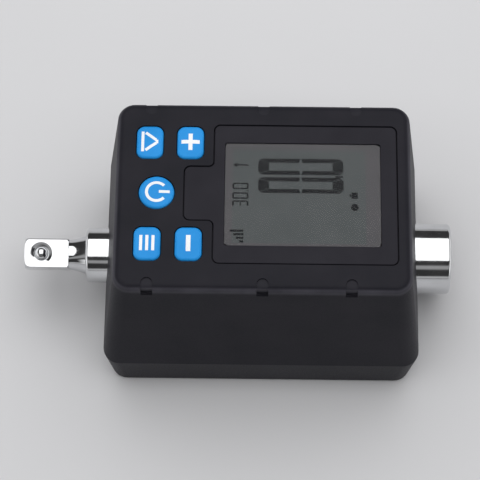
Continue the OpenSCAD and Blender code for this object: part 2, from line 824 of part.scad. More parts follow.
module main_board() color(board_colour) {
    notch_radius = upper_boss_radius + boss_notch_gap;
    boss_notch = door_boss_radius + boss_notch_gap;
    boss_end = far_wall_at(door_screw_rise) - wall - door_boss_length - boss_notch_gap;
    translate([0, 0, board_bottom]) linear_extrude(board_thickness) difference() {
        rounded_rect(board_length, board_width, board_corner);
        for (side_x = [-1, 1], side_y = [-1, 1]) translate([side_x * boss_x, side_y * boss_y]) {
            circle(notch_radius);
            translate([side_x > 0 ? 0 : -notch_radius, side_y > 0 ? -notch_radius : 0])
                translate([0, side_y > 0 ? 0 : -notch_radius]) square([notch_radius, 2 * notch_radius]);
            translate([-notch_radius, side_y > 0 ? 0 : -notch_radius]) square([2 * notch_radius, notch_radius]);
        }
        translate([-boss_notch, boss_end]) square([2 * boss_notch, board_width]);
        for (column = post_columns) translate([column, post_y]) circle(d = small_screw + 2 * soft_gap);
    }
}

module board_screws() color(steel_colour) {
    screw_run = board_thickness + post_hole_depth - overrun;
    for (column = post_columns) translate([column, post_y, board_bottom]) mirror([0, 0, 1])
        pan_screw(small_screw, screw_run, small_head, small_head_height);
}

module processor() color(chip_colour) {
    pin_length = 0.8;
    pin_width = 0.3;
    pin_height = 0.25;
    pins_a_side = 9;
    pin_pitch = 1;
    lift = 0.15;
    translate([processor_place.x, processor_place.y, board_bottom - processor_height])
        translate([-processor_side / 2, -processor_side / 2, 0])
            cube([processor_side, processor_side, processor_height - lift]);
    for (index = [0 : pins_a_side - 1], quarter = [0 : 3])
        translate([processor_place.x, processor_place.y, board_bottom - pin_height])
            rotate([0, 0, 90 * quarter])
            translate([processor_side / 2 - pin_width, centred(index, pins_a_side) * pin_pitch - pin_width / 2, 0])
                cube([pin_length, pin_width, pin_height]);
}

module bridge_amplifier() color(chip_colour) {
    translate([amplifier_place.x - amplifier_size.x / 2, amplifier_place.y - amplifier_size.y / 2,
        board_bottom - amplifier_size.z]) cube(amplifier_size);
}

module crystal() color(steel_colour) {
    translate([crystal_place.x, crystal_place.y, board_bottom - crystal_size.z])
        linear_extrude(crystal_size.z) rounded_rect(crystal_size.x, crystal_size.y, crystal_size.y / 4);
}

module buzzer() color(chip_colour) {
    translate([buzzer_place.x, buzzer_place.y, board_bottom - buzzer_height]) difference() {
        cylinder(h = buzzer_height, d = buzzer_diameter);
        translate([0, 0, -overrun]) cylinder(h = buzzer_height / 2 + overrun, d = buzzer_hole);
    }
}

module board_parts() color("#b8a27a") {
    for (column = [0 : part_columns - 1], row = [0 : part_rows - 1])
        translate([part_place.x + column * part_pitch, part_place.y - row * part_pitch / 2,
            board_bottom - part_size.z]) cube(part_size);
}

// Low push switch with a hole for its plunger
module switch_body() {
    difference() {
        translate([-switch_side / 2, -switch_side / 2, board_top])
            cube([switch_side, switch_side, switch_height]);
        translate([0, 0, switch_top - switch_hole_depth])
            cylinder(h = switch_hole_depth + overrun, d = plunger_diameter + 2 * soft_gap);
    }
}

module switch_bodies() color(chip_colour) {
    at_keys() switch_body();
    at_round_key() switch_body();
}

// Rectangular key with a rounded top, a stem in its hole and a flange under the roof
module rectangular_key() {
    stem_top = face_height + key_rise - key_edge;
    translate([0, 0, key_flange_bottom]) linear_extrude(key_flange_thickness) key_outline(key_flange);
    translate([0, 0, key_flange_bottom]) linear_extrude(stem_top - key_flange_bottom) key_outline(0);
    hull() {
        translate([0, 0, face_height + key_rise])
            at_corners(key_length / 2 - key_corner, key_width / 2 - key_corner)
            rounded_post(key_corner, key_edge);
        translate([0, 0, stem_top - skin]) at_corners(key_length / 2 - key_corner, key_width / 2 - key_corner)
            cylinder(h = skin, r = key_corner, $fn = hull_facets);
    }
}

module key_at(index) color(key_colour) translate([key_columns[index], key_rows[index], 0]) rectangular_key();
module peak_key() key_at(0);
module plus_key() key_at(1);
module menu_key() key_at(2);
module minus_key() key_at(3);

module power_key() color(key_colour) at_round_key() {
    translate([0, 0, key_flange_bottom]) {
        cylinder(h = key_flange_thickness, d = round_key_diameter + 2 * key_flange);
        cylinder(h = face_height + key_rise - key_edge - key_flange_bottom, d = round_key_diameter);
    }
    translate([0, 0, face_height + key_rise]) rounded_post(round_key_diameter / 2, key_edge);
}

// Plunger between a key and its switch
module plunger() {
    plunger_bottom = switch_top - plunger_reach;
    translate([0, 0, plunger_bottom]) cylinder(h = key_flange_bottom - plunger_bottom, d = plunger_diameter);
}

module plunger_at(index) color(plastic_colour) translate([key_columns[index], key_rows[index], 0]) plunger();
module peak_plunger() plunger_at(0);
module plus_plunger() plunger_at(1);
module menu_plunger() plunger_at(2);
module minus_plunger() plunger_at(3);
module power_plunger() color(plastic_colour) at_round_key() plunger();

module sensor_socket() color(plastic_colour) {
    translate([terminal_place, plug_place, board_bottom - socket_size.z]) difference() {
        translate([-socket_size.x / 2, -socket_size.y / 2, 0]) cube(socket_size);
        translate([-socket_size.x / 2 + socket_wall, -socket_size.y / 2 + socket_wall, -overrun])
            cube([socket_size.x - 2 * socket_wall, socket_size.y - 2 * socket_wall,
                plug_reach + overrun + plug_gap]);
    }
}

module sensor_plug() color(plastic_colour) {
    plug_length = socket_size.x - 2 * socket_wall - 2 * plug_gap;
    plug_width = socket_size.y - 2 * socket_wall - 2 * plug_gap;
    plug_top = board_bottom - socket_size.z + plug_reach;
    translate([terminal_place - plug_length / 2, plug_place - plug_width / 2, plug_top - plug_height])
        cube([plug_length, plug_width, plug_height]);
}

// Route of one wire of the lead: out from the gauges, round a bend and up to the plug
function lead_route(place) = let (
    start = -gauge_side / 2 - terminal_thickness, bend_y = start - lead_run,
    plug_bottom = board_bottom - socket_size.z + plug_reach - plug_height)
    concat([[place, start, axis_height]],
        [for (step = [0 : bend_steps]) let (turn = 90 * step / bend_steps)
            [place, bend_y - lead_bend * sin(turn), axis_height + lead_bend * (1 - cos(turn))]],
        [[place, bend_y - lead_bend, plug_bottom]]);

module sensor_lead() color("#b5332c") {
    for (index = [0 : lead_count - 1])
        swept_tube(lead_route(terminal_place + centred(index, lead_count) * lead_pitch),
            lead_diameter / 2, [1, 0, 0]);
}

// Turned about the shaft's axis with the drive
module rolled() {
    translate([0, 0, axis_height]) rotate([drive_roll, 0, 0]) translate([0, 0, -axis_height]) children();
}

// Square bar along the shaft between two stations
module square_bar(side, start, end) {
    translate([start, -side / 2, axis_height - side / 2]) cube([end - start, side, side]);
}

// Round bar along the shaft between two stations, with a first and a last diameter
module round_bar(first, last, start, end) {
    along_shaft(start) cylinder(h = end - start, d1 = first, d2 = last);
}

module torque_shaft() color(chrome_colour) {
    groove = clip_groove_depth + running_fit;
    groove_length = clip_thickness + 2 * running_fit;
    difference() {
        union() {
            intersection() {
                rolled() square_bar(drive_side, drive_tip, neck_end + skin);
                union() {
                    round_bar(drive_corner_diameter - 2 * tip_chamfer, drive_corner_diameter,
                        drive_tip, drive_tip + tip_chamfer);
                    round_bar(drive_corner_diameter, drive_corner_diameter,
                        drive_tip + tip_chamfer, neck_end + skin);
                }
            }
            round_bar(drive_side, neck_diameter, neck_end, male_collar_end + skin);
            round_bar(male_collar - 2 * collar_chamfer, male_collar,
                male_collar_end, male_collar_end + collar_chamfer);
            round_bar(male_collar, male_collar, male_collar_end + collar_chamfer, male_journal_end);
            round_bar(male_collar, gauge_side, male_journal_end, gauge_start);
            square_bar(gauge_side, gauge_start - skin, gauge_end + skin);
            round_bar(gauge_side, anchor_side, gauge_end, anchor_section_start);
            square_bar(anchor_side, anchor_section_start - skin, female_journal_start + skin);
            round_bar(female_collar, female_collar, female_journal_start, female_end - collar_chamfer);
            round_bar(female_collar, female_collar - 2 * collar_chamfer, female_end - collar_chamfer, female_end);
        }
        square_bar(socket_side, female_end - socket_depth, female_end + overrun);
        round_bar(skin, socket_side, female_end - socket_depth - drill_point, female_end - socket_depth + skin);
        round_bar(socket_diagonal - socket_chamfer, socket_diagonal + socket_chamfer,
            female_end - socket_chamfer, female_end + skin);
        for (quarter = [0 : 3]) translate([female_end - ball_setback, 0, axis_height])
            rotate([90 * quarter, 0, 0]) translate([0, 0, socket_side / 2 - overrun])
                cylinder(h = recess_depth + overrun, d = recess_diameter);
        rolled() translate([ball_place, 0, 0]) {
            translate([0, 0, bore_floor]) cylinder(h = drive_side, d = ball_bore);
            translate([0, 0, axis_height + drive_side / 2 - dimple_depth])
                cylinder(h = dimple_depth + skin, d1 = ball_bore, d2 = dimple_diameter);
        }
        for (end = [[-1, male_collar], [1, female_collar]])
            along_shaft(end[0] > 0 ? clip_inside - running_fit : -clip_inside - clip_thickness - running_fit)
                difference() {
                    cylinder(h = groove_length, d = end[1] + overrun);
                    translate([0, 0, -overrun])
                        cylinder(h = groove_length + 2 * overrun, d = end[1] - 2 * groove);
                }
    }
}

module strain_gauges() color("#c98b3a") {
    for (quarter = [0 : 3]) translate([gauge_place, 0, axis_height]) rotate([90 * quarter, 0, 0])
        translate([-gauge_length / 2, -gauge_width / 2, gauge_side / 2])
            cube([gauge_length, gauge_width, gauge_film]);
}

module gauge_terminal() color(board_colour) {
    translate([terminal_place - terminal_length / 2, -gauge_side / 2 - terminal_thickness,
        axis_height - terminal_height / 2]) cube([terminal_length, terminal_thickness, terminal_height]);
}

module detent_ball() color(steel_colour) {
    rolled() translate([ball_place, 0, ball_height]) sphere(d = ball_diameter);
}

module detent_spring() color(steel_colour) {
    spring_run = ball_height - ball_diameter / 2 - bore_floor - detent_wire - 2 * detent_clear;
    coil = coil_path(detent_coil / 2, detent_coil / 2, spring_run, detent_turns);
    rolled() translate([ball_place, 0, bore_floor + detent_wire / 2 + detent_clear])
        swept_tube(coil, detent_wire / 2, [0, 0, 1]);
}

// Plain bearing ring round a collar
module bush(collar) {
    difference() {
        cylinder(h = bush_length - seat_gap, d = collar + 2 * bush_wall);
        translate([0, 0, -overrun]) cylinder(h = bush_length + 2 * overrun, d = collar + 2 * running_fit);
    }
}

module male_bush() color(plastic_colour) along_shaft(-bush_outside + seat_gap) bush(male_collar);
module female_bush() color(plastic_colour) along_shaft(bush_inside) bush(female_collar);

// Round rubber ring between a collar and the end wall
module seal(collar) {
    translate([0, 0, seal_section / 2]) rotate_extrude()
        translate([collar / 2 + seal_section / 2 + seat_gap / 2, 0]) circle(d = seal_section);
}

module male_seal() color(rubber_colour) along_shaft(-bush_outside - seal_section) seal(male_collar);
module female_seal() color(rubber_colour) along_shaft(bush_outside) seal(female_collar);

// Open spring clip that sits in a groove of the shaft
module clip(collar) {
    mouth = collar / 2;
    inner = collar - 2 * clip_groove_depth;
    difference() {
        cylinder(h = clip_thickness, d = collar + 2 * clip_width);
        translate([0, 0, -overrun]) cylinder(h = clip_thickness + 2 * overrun, d = inner);
        translate([0, -mouth / 2, -overrun]) cube([collar, mouth, clip_thickness + 2 * overrun]);
    }
}

module male_clip() color(steel_colour) along_shaft(-clip_inside - clip_thickness) clip(male_collar);
module female_clip() color(steel_colour) along_shaft(clip_inside) clip(female_collar);

module anchor_block() color("#b9bcc0") {
    block_bottom = floor_thickness + anchor_pad;
    slot = anchor_side + 2 * running_fit;
    slot_bottom = axis_height - slot / 2;
    difference() {
        translate([anchor_place - anchor_length / 2, -anchor_width / 2, block_bottom])
            cube([anchor_length, anchor_width, axis_height + anchor_rise - block_bottom]);
        translate([anchor_place - anchor_length, -slot / 2, slot_bottom])
            cube([2 * anchor_length, slot, axis_height]);
        at_anchor_screws() translate([0, 0, block_bottom - overrun])
            cylinder(h = anchor_screw_length, d = screw_diameter + 2 * thread_fit);
    }
}

module anchor_screws() color(steel_colour) {
    at_anchor_screws() translate([0, 0, anchor_recess_depth]) mirror([0, 0, 1])
        pan_screw(screw_diameter, anchor_screw_length, head_diameter, head_height);
}

module battery_tray() color("#3a3a3c") {
    outer_length = bay_length + 2 * tray_wall;
    tray_bottom = tray_floor_top - tray_wall;
    difference() {
        translate([-outer_length / 2, tray_back - tray_wall, tray_bottom])
            cube([outer_length, tray_front - tray_back + tray_wall, board_bottom - tray_bottom]);
        translate([-bay_length / 2, tray_back, tray_floor_top])
            cube([bay_length, housing_width, board_bottom]);
    }
}

// One contact plate at the end of the bay that side names, between two heights
module contact_plate(side, low, high) {
    translate([side > 0 ? bay_length / 2 - contact_thickness : -bay_length / 2,
        cells_y - contact_width / 2, low]) cube([contact_thickness, contact_width, high - low]);
}

module contact_plates() color("#d6d2c4") {
    half_plate = contact_height / 2;
    contact_plate(-1, lower_cell_height - half_plate, upper_cell_height + half_plate);
    for (height = [upper_cell_height, lower_cell_height])
        contact_plate(1, height - half_plate, height + half_plate);
    translate([bay_length / 2 - contact_thickness, cells_y - contact_width / 2, upper_cell_height])
        cube([contact_thickness, contact_tail, board_bottom - upper_cell_height]);
}

module contact_springs() color(steel_colour) {
    run = spring_length - coil_wire;
    coil = coil_path(coil_wide, coil_narrow, run, coil_turns);
    plate_face = bay_length / 2 - contact_thickness;
    translate([-plate_face + coil_wire / 2, cells_y, upper_cell_height]) rotate([0, 90, 0])
        swept_tube(coil, coil_wire / 2, [0, 0, 1]);
    translate([plate_face - coil_wire / 2, cells_y, lower_cell_height]) rotate([0, -90, 0])
        swept_tube(coil, coil_wire / 2, [0, 0, 1]);
}

// One cell along X, its terminal end at the origin and its body running back to -X
module cell() {
    body = cell_length - cell_nub;
    rotate([0, -90, 0]) {
        cylinder(h = cell_nub + cell_edge, d = cell_nub_diameter);
        translate([0, 0, cell_nub])
            cylinder(h = cell_edge, d1 = cell_diameter - 2 * cell_edge, d2 = cell_diameter);
        translate([0, 0, cell_nub + cell_edge]) cylinder(h = body - 2 * cell_edge, d = cell_diameter);
        translate([0, 0, cell_length - cell_edge])
            cylinder(h = cell_edge, d1 = cell_diameter, d2 = cell_diameter - 2 * cell_edge);
    }
}

module upper_cell() color("#c08a3e") translate([cell_stop, cells_y, upper_cell_height]) cell();
module lower_cell() color("#c08a3e") translate([-cell_stop, cells_y, lower_cell_height])
    mirror([1, 0, 0]) cell();

module battery_door() color(housing_colour) {
    grip_x = door_length * grip_length_share;
    grip_z = axis_height + door_low + door_height * grip_height_share;
    difference() {
        union() {
            intersection() {
                door_prism(0);
                far_slab(0, door_thickness);
            }
            intersection() {
                difference() {
                    bay_opening(-door_rim_gap);
                    bay_opening(-door_rim_gap - door_rim);
                }
                far_slab(door_thickness - skin, door_thickness + door_rim_height);
            }
        }
        translate([0, housing_width / 2, door_screw_rise]) rotate([90, 0, 0])
            cylinder(h = housing_width / 4, d = small_screw + 2 * soft_gap);
        translate([0, housing_width / 2, door_screw_rise]) rotate([90, 0, 0])
            cylinder(h = far_wall_drop() + door_head_seat, d = small_head + 2 * head_recess_gap);
        for (index = [0 : grip_count - 1])
            translate([-grip_x / 2, housing_width / 2, grip_z + index * grip_pitch]) intersection() {
                translate([0, -housing_width / 4, 0]) cube([grip_x, housing_width / 4 + overrun, grip_width]);
                translate([0, -housing_width / 2, -grip_z - index * grip_pitch]) translate([grip_x / 2, 0, 0])
                    far_slab(-overrun, grip_depth);
            }
    }
}

module door_screw() color(steel_colour) {
    translate([0, housing_width / 2 - far_wall_drop() - door_head_seat, door_screw_rise]) rotate([-90, 0, 0])
        pan_screw(small_screw, door_screw_length, small_head, small_head_height);
}

module housing_screws() color(steel_colour) {
    at_corners(boss_x, boss_y) translate([0, 0, head_recess_depth]) mirror([0, 0, 1])
        pan_screw(screw_diameter, screw_length, head_diameter, head_height);
}

module housing_inserts() color(brass_colour) {
    at_corners(boss_x, boss_y) translate([0, 0, axis_height]) difference() {
        cylinder(h = insert_length, d = insert_diameter);
        translate([0, 0, -overrun])
            cylinder(h = insert_length + 2 * overrun, d = screw_diameter + 2 * thread_fit);
    }
}

upper_shell();
lower_shell();
display_panel();
window_lens();
lcd_glass();
lcd_frame();
backlight_guide();
backlight_lamps();
contact_strip();
main_board();
board_screws();
processor();
bridge_amplifier();
board_parts();
crystal();
buzzer();
switch_bodies();
peak_key();
plus_key();
power_key();
menu_key();
minus_key();
peak_plunger();
plus_plunger();
power_plunger();
menu_plunger();
minus_plunger();
sensor_socket();
sensor_plug();
sensor_lead();
torque_shaft();
strain_gauges();
gauge_terminal();
detent_ball();
detent_spring();
male_bush();
female_bush();
male_seal();
female_seal();
male_clip();
female_clip();
anchor_block();
anchor_screws();
battery_tray();
contact_plates();
contact_springs();
upper_cell();
lower_cell();
battery_door();
door_screw();
housing_screws();
housing_inserts();
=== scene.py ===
# %% [markdown]
# # A digital torque adapter
# A square-drive shaft runs through a flared plastic housing, which carries a display, five keys
# and two cells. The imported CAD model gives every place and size. The cells below rebuild the
# surfaces that the eye rests on, and give every piece a finish of its own.

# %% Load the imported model
import math

import bmesh
import bpy
import numpy as np
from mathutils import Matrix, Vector


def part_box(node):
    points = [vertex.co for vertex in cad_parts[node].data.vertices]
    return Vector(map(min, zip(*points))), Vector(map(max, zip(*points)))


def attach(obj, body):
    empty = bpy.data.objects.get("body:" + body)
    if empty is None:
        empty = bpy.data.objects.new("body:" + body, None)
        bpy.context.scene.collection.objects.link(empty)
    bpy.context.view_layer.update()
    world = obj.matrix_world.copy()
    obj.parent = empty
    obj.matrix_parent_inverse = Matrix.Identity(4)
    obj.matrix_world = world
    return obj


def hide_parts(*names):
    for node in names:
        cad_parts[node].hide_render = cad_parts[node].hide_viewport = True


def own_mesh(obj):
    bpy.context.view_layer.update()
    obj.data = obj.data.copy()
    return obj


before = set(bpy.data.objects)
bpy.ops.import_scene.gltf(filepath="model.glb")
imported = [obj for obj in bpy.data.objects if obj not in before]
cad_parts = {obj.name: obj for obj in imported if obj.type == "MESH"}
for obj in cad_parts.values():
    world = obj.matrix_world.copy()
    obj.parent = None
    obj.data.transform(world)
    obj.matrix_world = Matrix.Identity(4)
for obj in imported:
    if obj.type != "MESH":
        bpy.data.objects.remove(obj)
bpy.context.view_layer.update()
mm = 0.001

# %% [markdown]
# ## Skins from arrays
# Nearly every visible piece here is turned, moulded or wound, so a ring that changes along a line
# describes it. Primitives with modifiers could do the same, but the sizes would hide in many
# settings. So every new piece is a grid of points, such as the stations of a turned bar or the
# outlines of a key at one height after another, and numpy works out the whole grid at once. Where
# a row shrinks to a single point, merging its doubles closes the piece.

# %% From grids to pieces
merge_gap = 0.0005 * mm


def ring_faces(rows, columns):
    """Quads of a grid with closed columns: a point, the next in its ring, and both in the next row."""
    start = np.arange(rows - 1)[:, None] * columns
    here = np.arange(columns)[None, :]
    after = (here + 1) % columns
    corners = [start + here, start + after, start + columns + after, start + columns + here]
    return np.stack(corners, axis=-1).reshape(-1, 4)


def capped(rings):
    """A grid of rings with a first and a last row that shrink to their ring's middle."""
    first = np.broadcast_to(rings[0].mean(axis=0), rings[0].shape)
    last = np.broadcast_to(rings[-1].mean(axis=0), rings[-1].shape)
    return np.concatenate([first[None], rings, last[None]])


def looped(rings):
    """A grid of rings whose last row is its first again, as round a seal."""
    return np.concatenate([rings, rings[:1]])


def closed_mesh(name, points, faces):
    """A mesh from arrays, with its doubles merged and its faces turned outwards."""
    mesh = bpy.data.meshes.new(name)
    mesh.from_pydata(np.concatenate(points).tolist(), [], faces)
    skin = bmesh.new()
    skin.from_mesh(mesh)
    bmesh.ops.remove_doubles(skin, verts=skin.verts, dist=merge_gap)
    bmesh.ops.recalc_face_normals(skin, faces=skin.faces)
    skin.to_mesh(mesh)
    skin.free()
    return mesh


def smooth_up_to(mesh, crease):
    """Smooth shading, except across edges that turn more than the crease angle."""
    mesh.polygons.foreach_set("use_smooth", np.ones(len(mesh.polygons), bool))
    mesh.set_sharp_from_angle(angle=math.radians(crease))


def put_in_scene(name, data):
    """Puts a mesh, a lamp or a camera into the scene as an object."""
    thing = bpy.data.objects.new(name, data)
    bpy.context.scene.collection.objects.link(thing)
    return thing


def make_skin(name, grids, crease=35, closed=capped):
    """A piece from one or more grids, each closed, and smooth up to the crease."""
    points, faces, count = [], [], 0
    for grid in grids:
        rings = closed(grid)
        points.append(rings.reshape(-1, 3))
        faces += (ring_faces(*rings.shape[:2]) + count).tolist()
        count += len(points[-1])
    mesh = closed_mesh(name, points, faces)
    smooth_up_to(mesh, crease)
    return put_in_scene(name, mesh)


def dress(piece, body, slot, finish, *nodes):
    """Gives a piece its finish, its body and the CAD nodes it stands for. The slot argument is not used.
    """
    piece.data.materials.clear()
    piece.data.materials.append(finish)
    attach(piece, body)
    if nodes:
        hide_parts(*nodes)
    print(piece.name, len(piece.data.polygons), "faces")
    return piece


# %% [markdown]
# ## A few words for shader nodes
# A picture of each surface could be wrapped round its piece, but it would need a map and show its
# pixels close up. Nodes have neither fault: they read the piece's own coordinates in metres, so a
# grain of a quarter of a millimetre has that size on the part. One short helper puts a node into a
# material, and a few more name the patterns that nearly every finish needs.

# %% Node helpers
def linear(code):
    """Linear colour of a written one such as 2b2a2f: a share s becomes ((s + 0.055) / 1.055) ** 2.4."""
    share = np.array([int(code[start:start + 2], 16) for start in (0, 2, 4)]) / 255
    curved = np.where(share > 0.04045, ((share + 0.055) / 1.055) ** 2.4, share / 12.92)
    return (*curved.tolist(), 1.0)


def new_finish(name, colour, roughness, metallic=0.0, specular=0.5):
    """A Principled material whose constants are set on the shader's own sockets."""
    finish = bpy.data.materials.new(name)
    finish.use_nodes = True
    shader = finish.node_tree.nodes["Principled BSDF"]
    shader.inputs["Base Color"].default_value = linear(colour)
    shader.inputs["Roughness"].default_value = roughness
    shader.inputs["Metallic"].default_value = metallic
    shader.inputs["Specular IOR Level"].default_value = specular
    return finish


def put(finish, kind, inputs, **settings):
    """Adds a node. Settings are its own properties, inputs its sockets' values or what feeds them."""
    node = finish.node_tree.nodes.new(kind)
    for name, value in settings.items():
        setattr(node, name, value)
    for name, value in inputs.items():
        if isinstance(value, bpy.types.NodeSocket):
            finish.node_tree.links.new(value, node.inputs[name])
        else:
            node.inputs[name].default_value = value
    return node


def feed(finish, socket, value):
    """Links a value to a socket of the finish's shader."""
    shader = finish.node_tree.nodes["Principled BSDF"]
    finish.node_tree.links.new(value, shader.inputs[socket])


def place_on(finish, stretch=(1, 1, 1), turn=(0, 0, 0)):
    """The piece's own coordinates, stretched or turned."""
    own = put(finish, "ShaderNodeTexCoord", {}).outputs["Object"]
    mapping = put(finish, "ShaderNodeMapping", {"Vector": own, "Scale": stretch, "Rotation": turn})
    return mapping.outputs["Vector"]


def speckle(finish, size, detail=2.0, stretch=(1, 1, 1)):
    """Noise whose grains have a size in metres."""
    place = place_on(finish, stretch)
    noise = put(finish, "ShaderNodeTexNoise", {"Vector": place, "Scale": 1 / size, "Detail": detail})
    return noise.outputs["Fac"]


def between(finish, factor, low, high, start=0.3, end=0.7):
    """Maps a pattern's middle range to the range between two values."""
    inputs = {"Value": factor, "From Min": start, "From Max": end, "To Min": low, "To Max": high}
    return put(finish, "ShaderNodeMapRange", inputs).outputs["Result"]


def tones(finish, factor, dark, light):
    """Mixes two colours. Each is a linear colour or a socket that gives one."""
    node = put(finish, "ShaderNodeMix", {"Factor": factor}, data_type="RGBA")
    for socket, value in ((node.inputs[6], dark), (node.inputs[7], light)):
        if isinstance(value, bpy.types.NodeSocket):
            finish.node_tree.links.new(value, socket)
        else:
            socket.default_value = value
    return node.outputs[2]


def relief(finish, height, depth):
    """Raises the surface by a pattern, to a depth in metres."""
    bump = put(finish, "ShaderNodeBump", {"Height": height, "Distance": depth, "Strength": 1.0})
    feed(finish, "Normal", bump.outputs["Normal"])


# %% [markdown]
# ## Plastics and rubber
# The housing is moulded in a tool with a fine sparked texture, so its gloss breaks up into grains
# of about a quarter of a millimetre. The grain goes into the bump and the roughness, and a broader
# pattern changes the tone a little, as handling does. The panel and keys are smoother. A band of
# heights round the rim of the face is painted lighter, unevenly and with soft ends, as a painted
# highlight along the rounded top edge. Painted vertices could show that too, but a band in metres
# needs no finer mesh.

# %% Moulded finishes
broad_patch = 9 * mm
gloss_spread = 0.06


def moulded(name, dark, light, grain, depth, rough, specular):
    """A moulded plastic: broad tones, a fine grain in the bump, and gloss that varies with it."""
    finish = new_finish(name, light, rough, specular=specular)
    fine = speckle(finish, grain)
    broad = speckle(finish, broad_patch, detail=4.0)
    tone = between(finish, broad, 0.0, 1.0)
    feed(finish, "Base Color", tones(finish, tone, linear(dark), linear(light)))
    feed(finish, "Roughness", between(finish, fine, rough + gloss_spread, rough - gloss_spread))
    relief(finish, fine, depth)
    return finish


def painted_rim_highlight(finish, colour, low, high, fade):
    """Painted highlight: lightens a band of heights round the rim of the face, unevenly and with soft
    ends.
    """
    shader = finish.node_tree.nodes["Principled BSDF"]
    plain = shader.inputs["Base Color"].links[0].from_socket
    height = put(finish, "ShaderNodeSeparateXYZ", {"Vector": place_on(finish)}).outputs["Z"]
    above = between(finish, height, 0.0, 1.0, low, low + fade)
    below = between(finish, height, 1.0, 0.0, high - fade / 3, high)
    uneven = between(finish, speckle(finish, 5 * mm, detail=4.0), 0.6, 1.0)
    band = put(finish, "ShaderNodeMath", {0: above, 1: below}, operation="MULTIPLY").outputs["Value"]
    share = put(finish, "ShaderNodeMath", {0: band, 1: uneven}, operation="MULTIPLY").outputs["Value"]
    feed(finish, "Base Color", tones(finish, share, plain, linear(colour)))


finishes = {
    "housing_black": moulded("housing_black", "1e1e24", "242329", 0.26 * mm, 0.012 * mm, 0.46, 0.08),
    "panel_black": moulded("panel_black", "242329", "29282e", 0.12 * mm, 0.004 * mm, 0.42, 0.07),
    "key_blue": moulded("key_blue", "1f8ad4", "2a94e0", 0.15 * mm, 0.004 * mm, 0.42, 0.15),
    "seal_rubber": moulded("seal_rubber", "121212", "1a1a1b", 0.3 * mm, 0.01 * mm, 0.7, 0.2),
    "chip_black": moulded("chip_black", "1b1b1d", "242426", 0.1 * mm, 0.006 * mm, 0.55, 0.3),
    "tray_grey": moulded("tray_grey", "343437", "3d3d40", 0.25 * mm, 0.012 * mm, 0.52, 0.3),
    "white_plastic": moulded("white_plastic", "dcd9d0", "e8e6df", 0.2 * mm, 0.006 * mm, 0.4, 0.4),
    "wire_sleeve": moulded("wire_sleeve", "8f2420", "a92c26", 0.3 * mm, 0.008 * mm, 0.45, 0.4),
    "parts_tan": moulded("parts_tan", "a8905f", "bda676", 0.08 * mm, 0.004 * mm, 0.5, 0.3),
}
# A painted highlight along the rounded top edge of the housing: a lighter colour in a band of heights.
rim_low, rim_high, rim_fade = 42.5 * mm, 44.4 * mm, 0.9 * mm
painted_rim_highlight(finishes["housing_black"], "434249", rim_low, rim_high, rim_fade)
print(len(finishes), "moulded finishes")

# %% [markdown]
# ## Metals
# Turning leaves fine rings round a bar, and plating softens them without hiding them. They could be
# modelled as grooves, but at a tenth of a millimetre a bump does it as well. A noise that is
# squeezed along the shaft gives such rings. The chrome keeps a low, uneven roughness, so that lamps
# stay crisp in it and yet show a hand-finished surface.

# %% Metal finishes
def turned(name, dark, light, rough, ring, depth):
    """A turned metal: rings across the shaft's line in the bump, with faint smudges in tone and gloss."""
    finish = new_finish(name, light, rough, metallic=1.0)
    rings = speckle(finish, ring, detail=3.0, stretch=(1.0, 0.04, 0.04))
    smudge = speckle(finish, 3.5 * mm, detail=5.0)
    feed(finish, "Base Color", tones(finish, between(finish, smudge, 0, 1), linear(dark), linear(light)))
    feed(finish, "Roughness", between(finish, smudge, rough * 0.7, rough * 1.5))
    relief(finish, rings, depth)
    return finish


finishes["shaft_chrome"] = turned("shaft_chrome", "cbccce", "d6d7d9", 0.09, 0.12 * mm, 0.0005 * mm)
finishes["bright_steel"] = turned("bright_steel", "a5a8ab", "c0c2c4", 0.26, 0.1 * mm, 0.002 * mm)
finishes["insert_brass"] = turned("insert_brass", "b58d3c", "cfa552", 0.28, 0.1 * mm, 0.002 * mm)
finishes["anchor_aluminium"] = turned("anchor_aluminium", "b4b6b9", "c6c8ca", 0.38, 0.3 * mm, 0.004 * mm)
print(len(finishes), "finishes so far")

# %% [markdown]
# ## Glass, board and foil
# The cover of the window is a thin clear plate. Real glass would bend light, which helps little on
# a flat plate and costs time, so a plain low alpha keeps a trace of its gloss over the display.
# The display is a grey film over glass. The board shows copper tracks under green lacquer, and the
# gauges a fine foil grid, which a brick pattern and a wave draw at their true pitch.

# %% Finishes inside the housing
def clear_lens():
    """A plate that lets nearly all light through and keeps a trace of gloss."""
    finish = new_finish("lens_clear", "1a1c1e", 0.06, specular=0.4)
    finish.node_tree.nodes["Principled BSDF"].inputs["Alpha"].default_value = 0.1
    smear = speckle(finish, 6 * mm, detail=5.0)
    feed(finish, "Roughness", between(finish, smear, 0.04, 0.12))
    return finish


def clouded(name, dark, light, specular):
    """A grey layer of the display, with the faint cloud of a polariser."""
    finish = new_finish(name, light, 0.32, specular=specular)
    cloud = speckle(finish, 7 * mm, detail=3.0)
    feed(finish, "Base Color", tones(finish, between(finish, cloud, 0, 1), linear(dark), linear(light)))
    relief(finish, speckle(finish, 0.1 * mm), 0.001 * mm)
    return finish


def circuit_board():
    """Copper tracks under green lacquer: bricks drawn as thin lines, and a fine grain over them."""
    finish = new_finish("board_green", "1f6b3a", 0.38)
    lines = {"Vector": place_on(finish), "Scale": 1 / (2.2 * mm), "Mortar Size": 0.05,
             "Brick Width": 1.7, "Row Height": 0.35}
    tracks = put(finish, "ShaderNodeTexBrick", lines).outputs["Fac"]
    feed(finish, "Base Color", tones(finish, tracks, linear("1c5f34"), linear("2f8a4d")))
    feed(finish, "Roughness", between(finish, speckle(finish, 0.6 * mm), 0.32, 0.46))
    relief(finish, tracks, 0.02 * mm)
    return finish


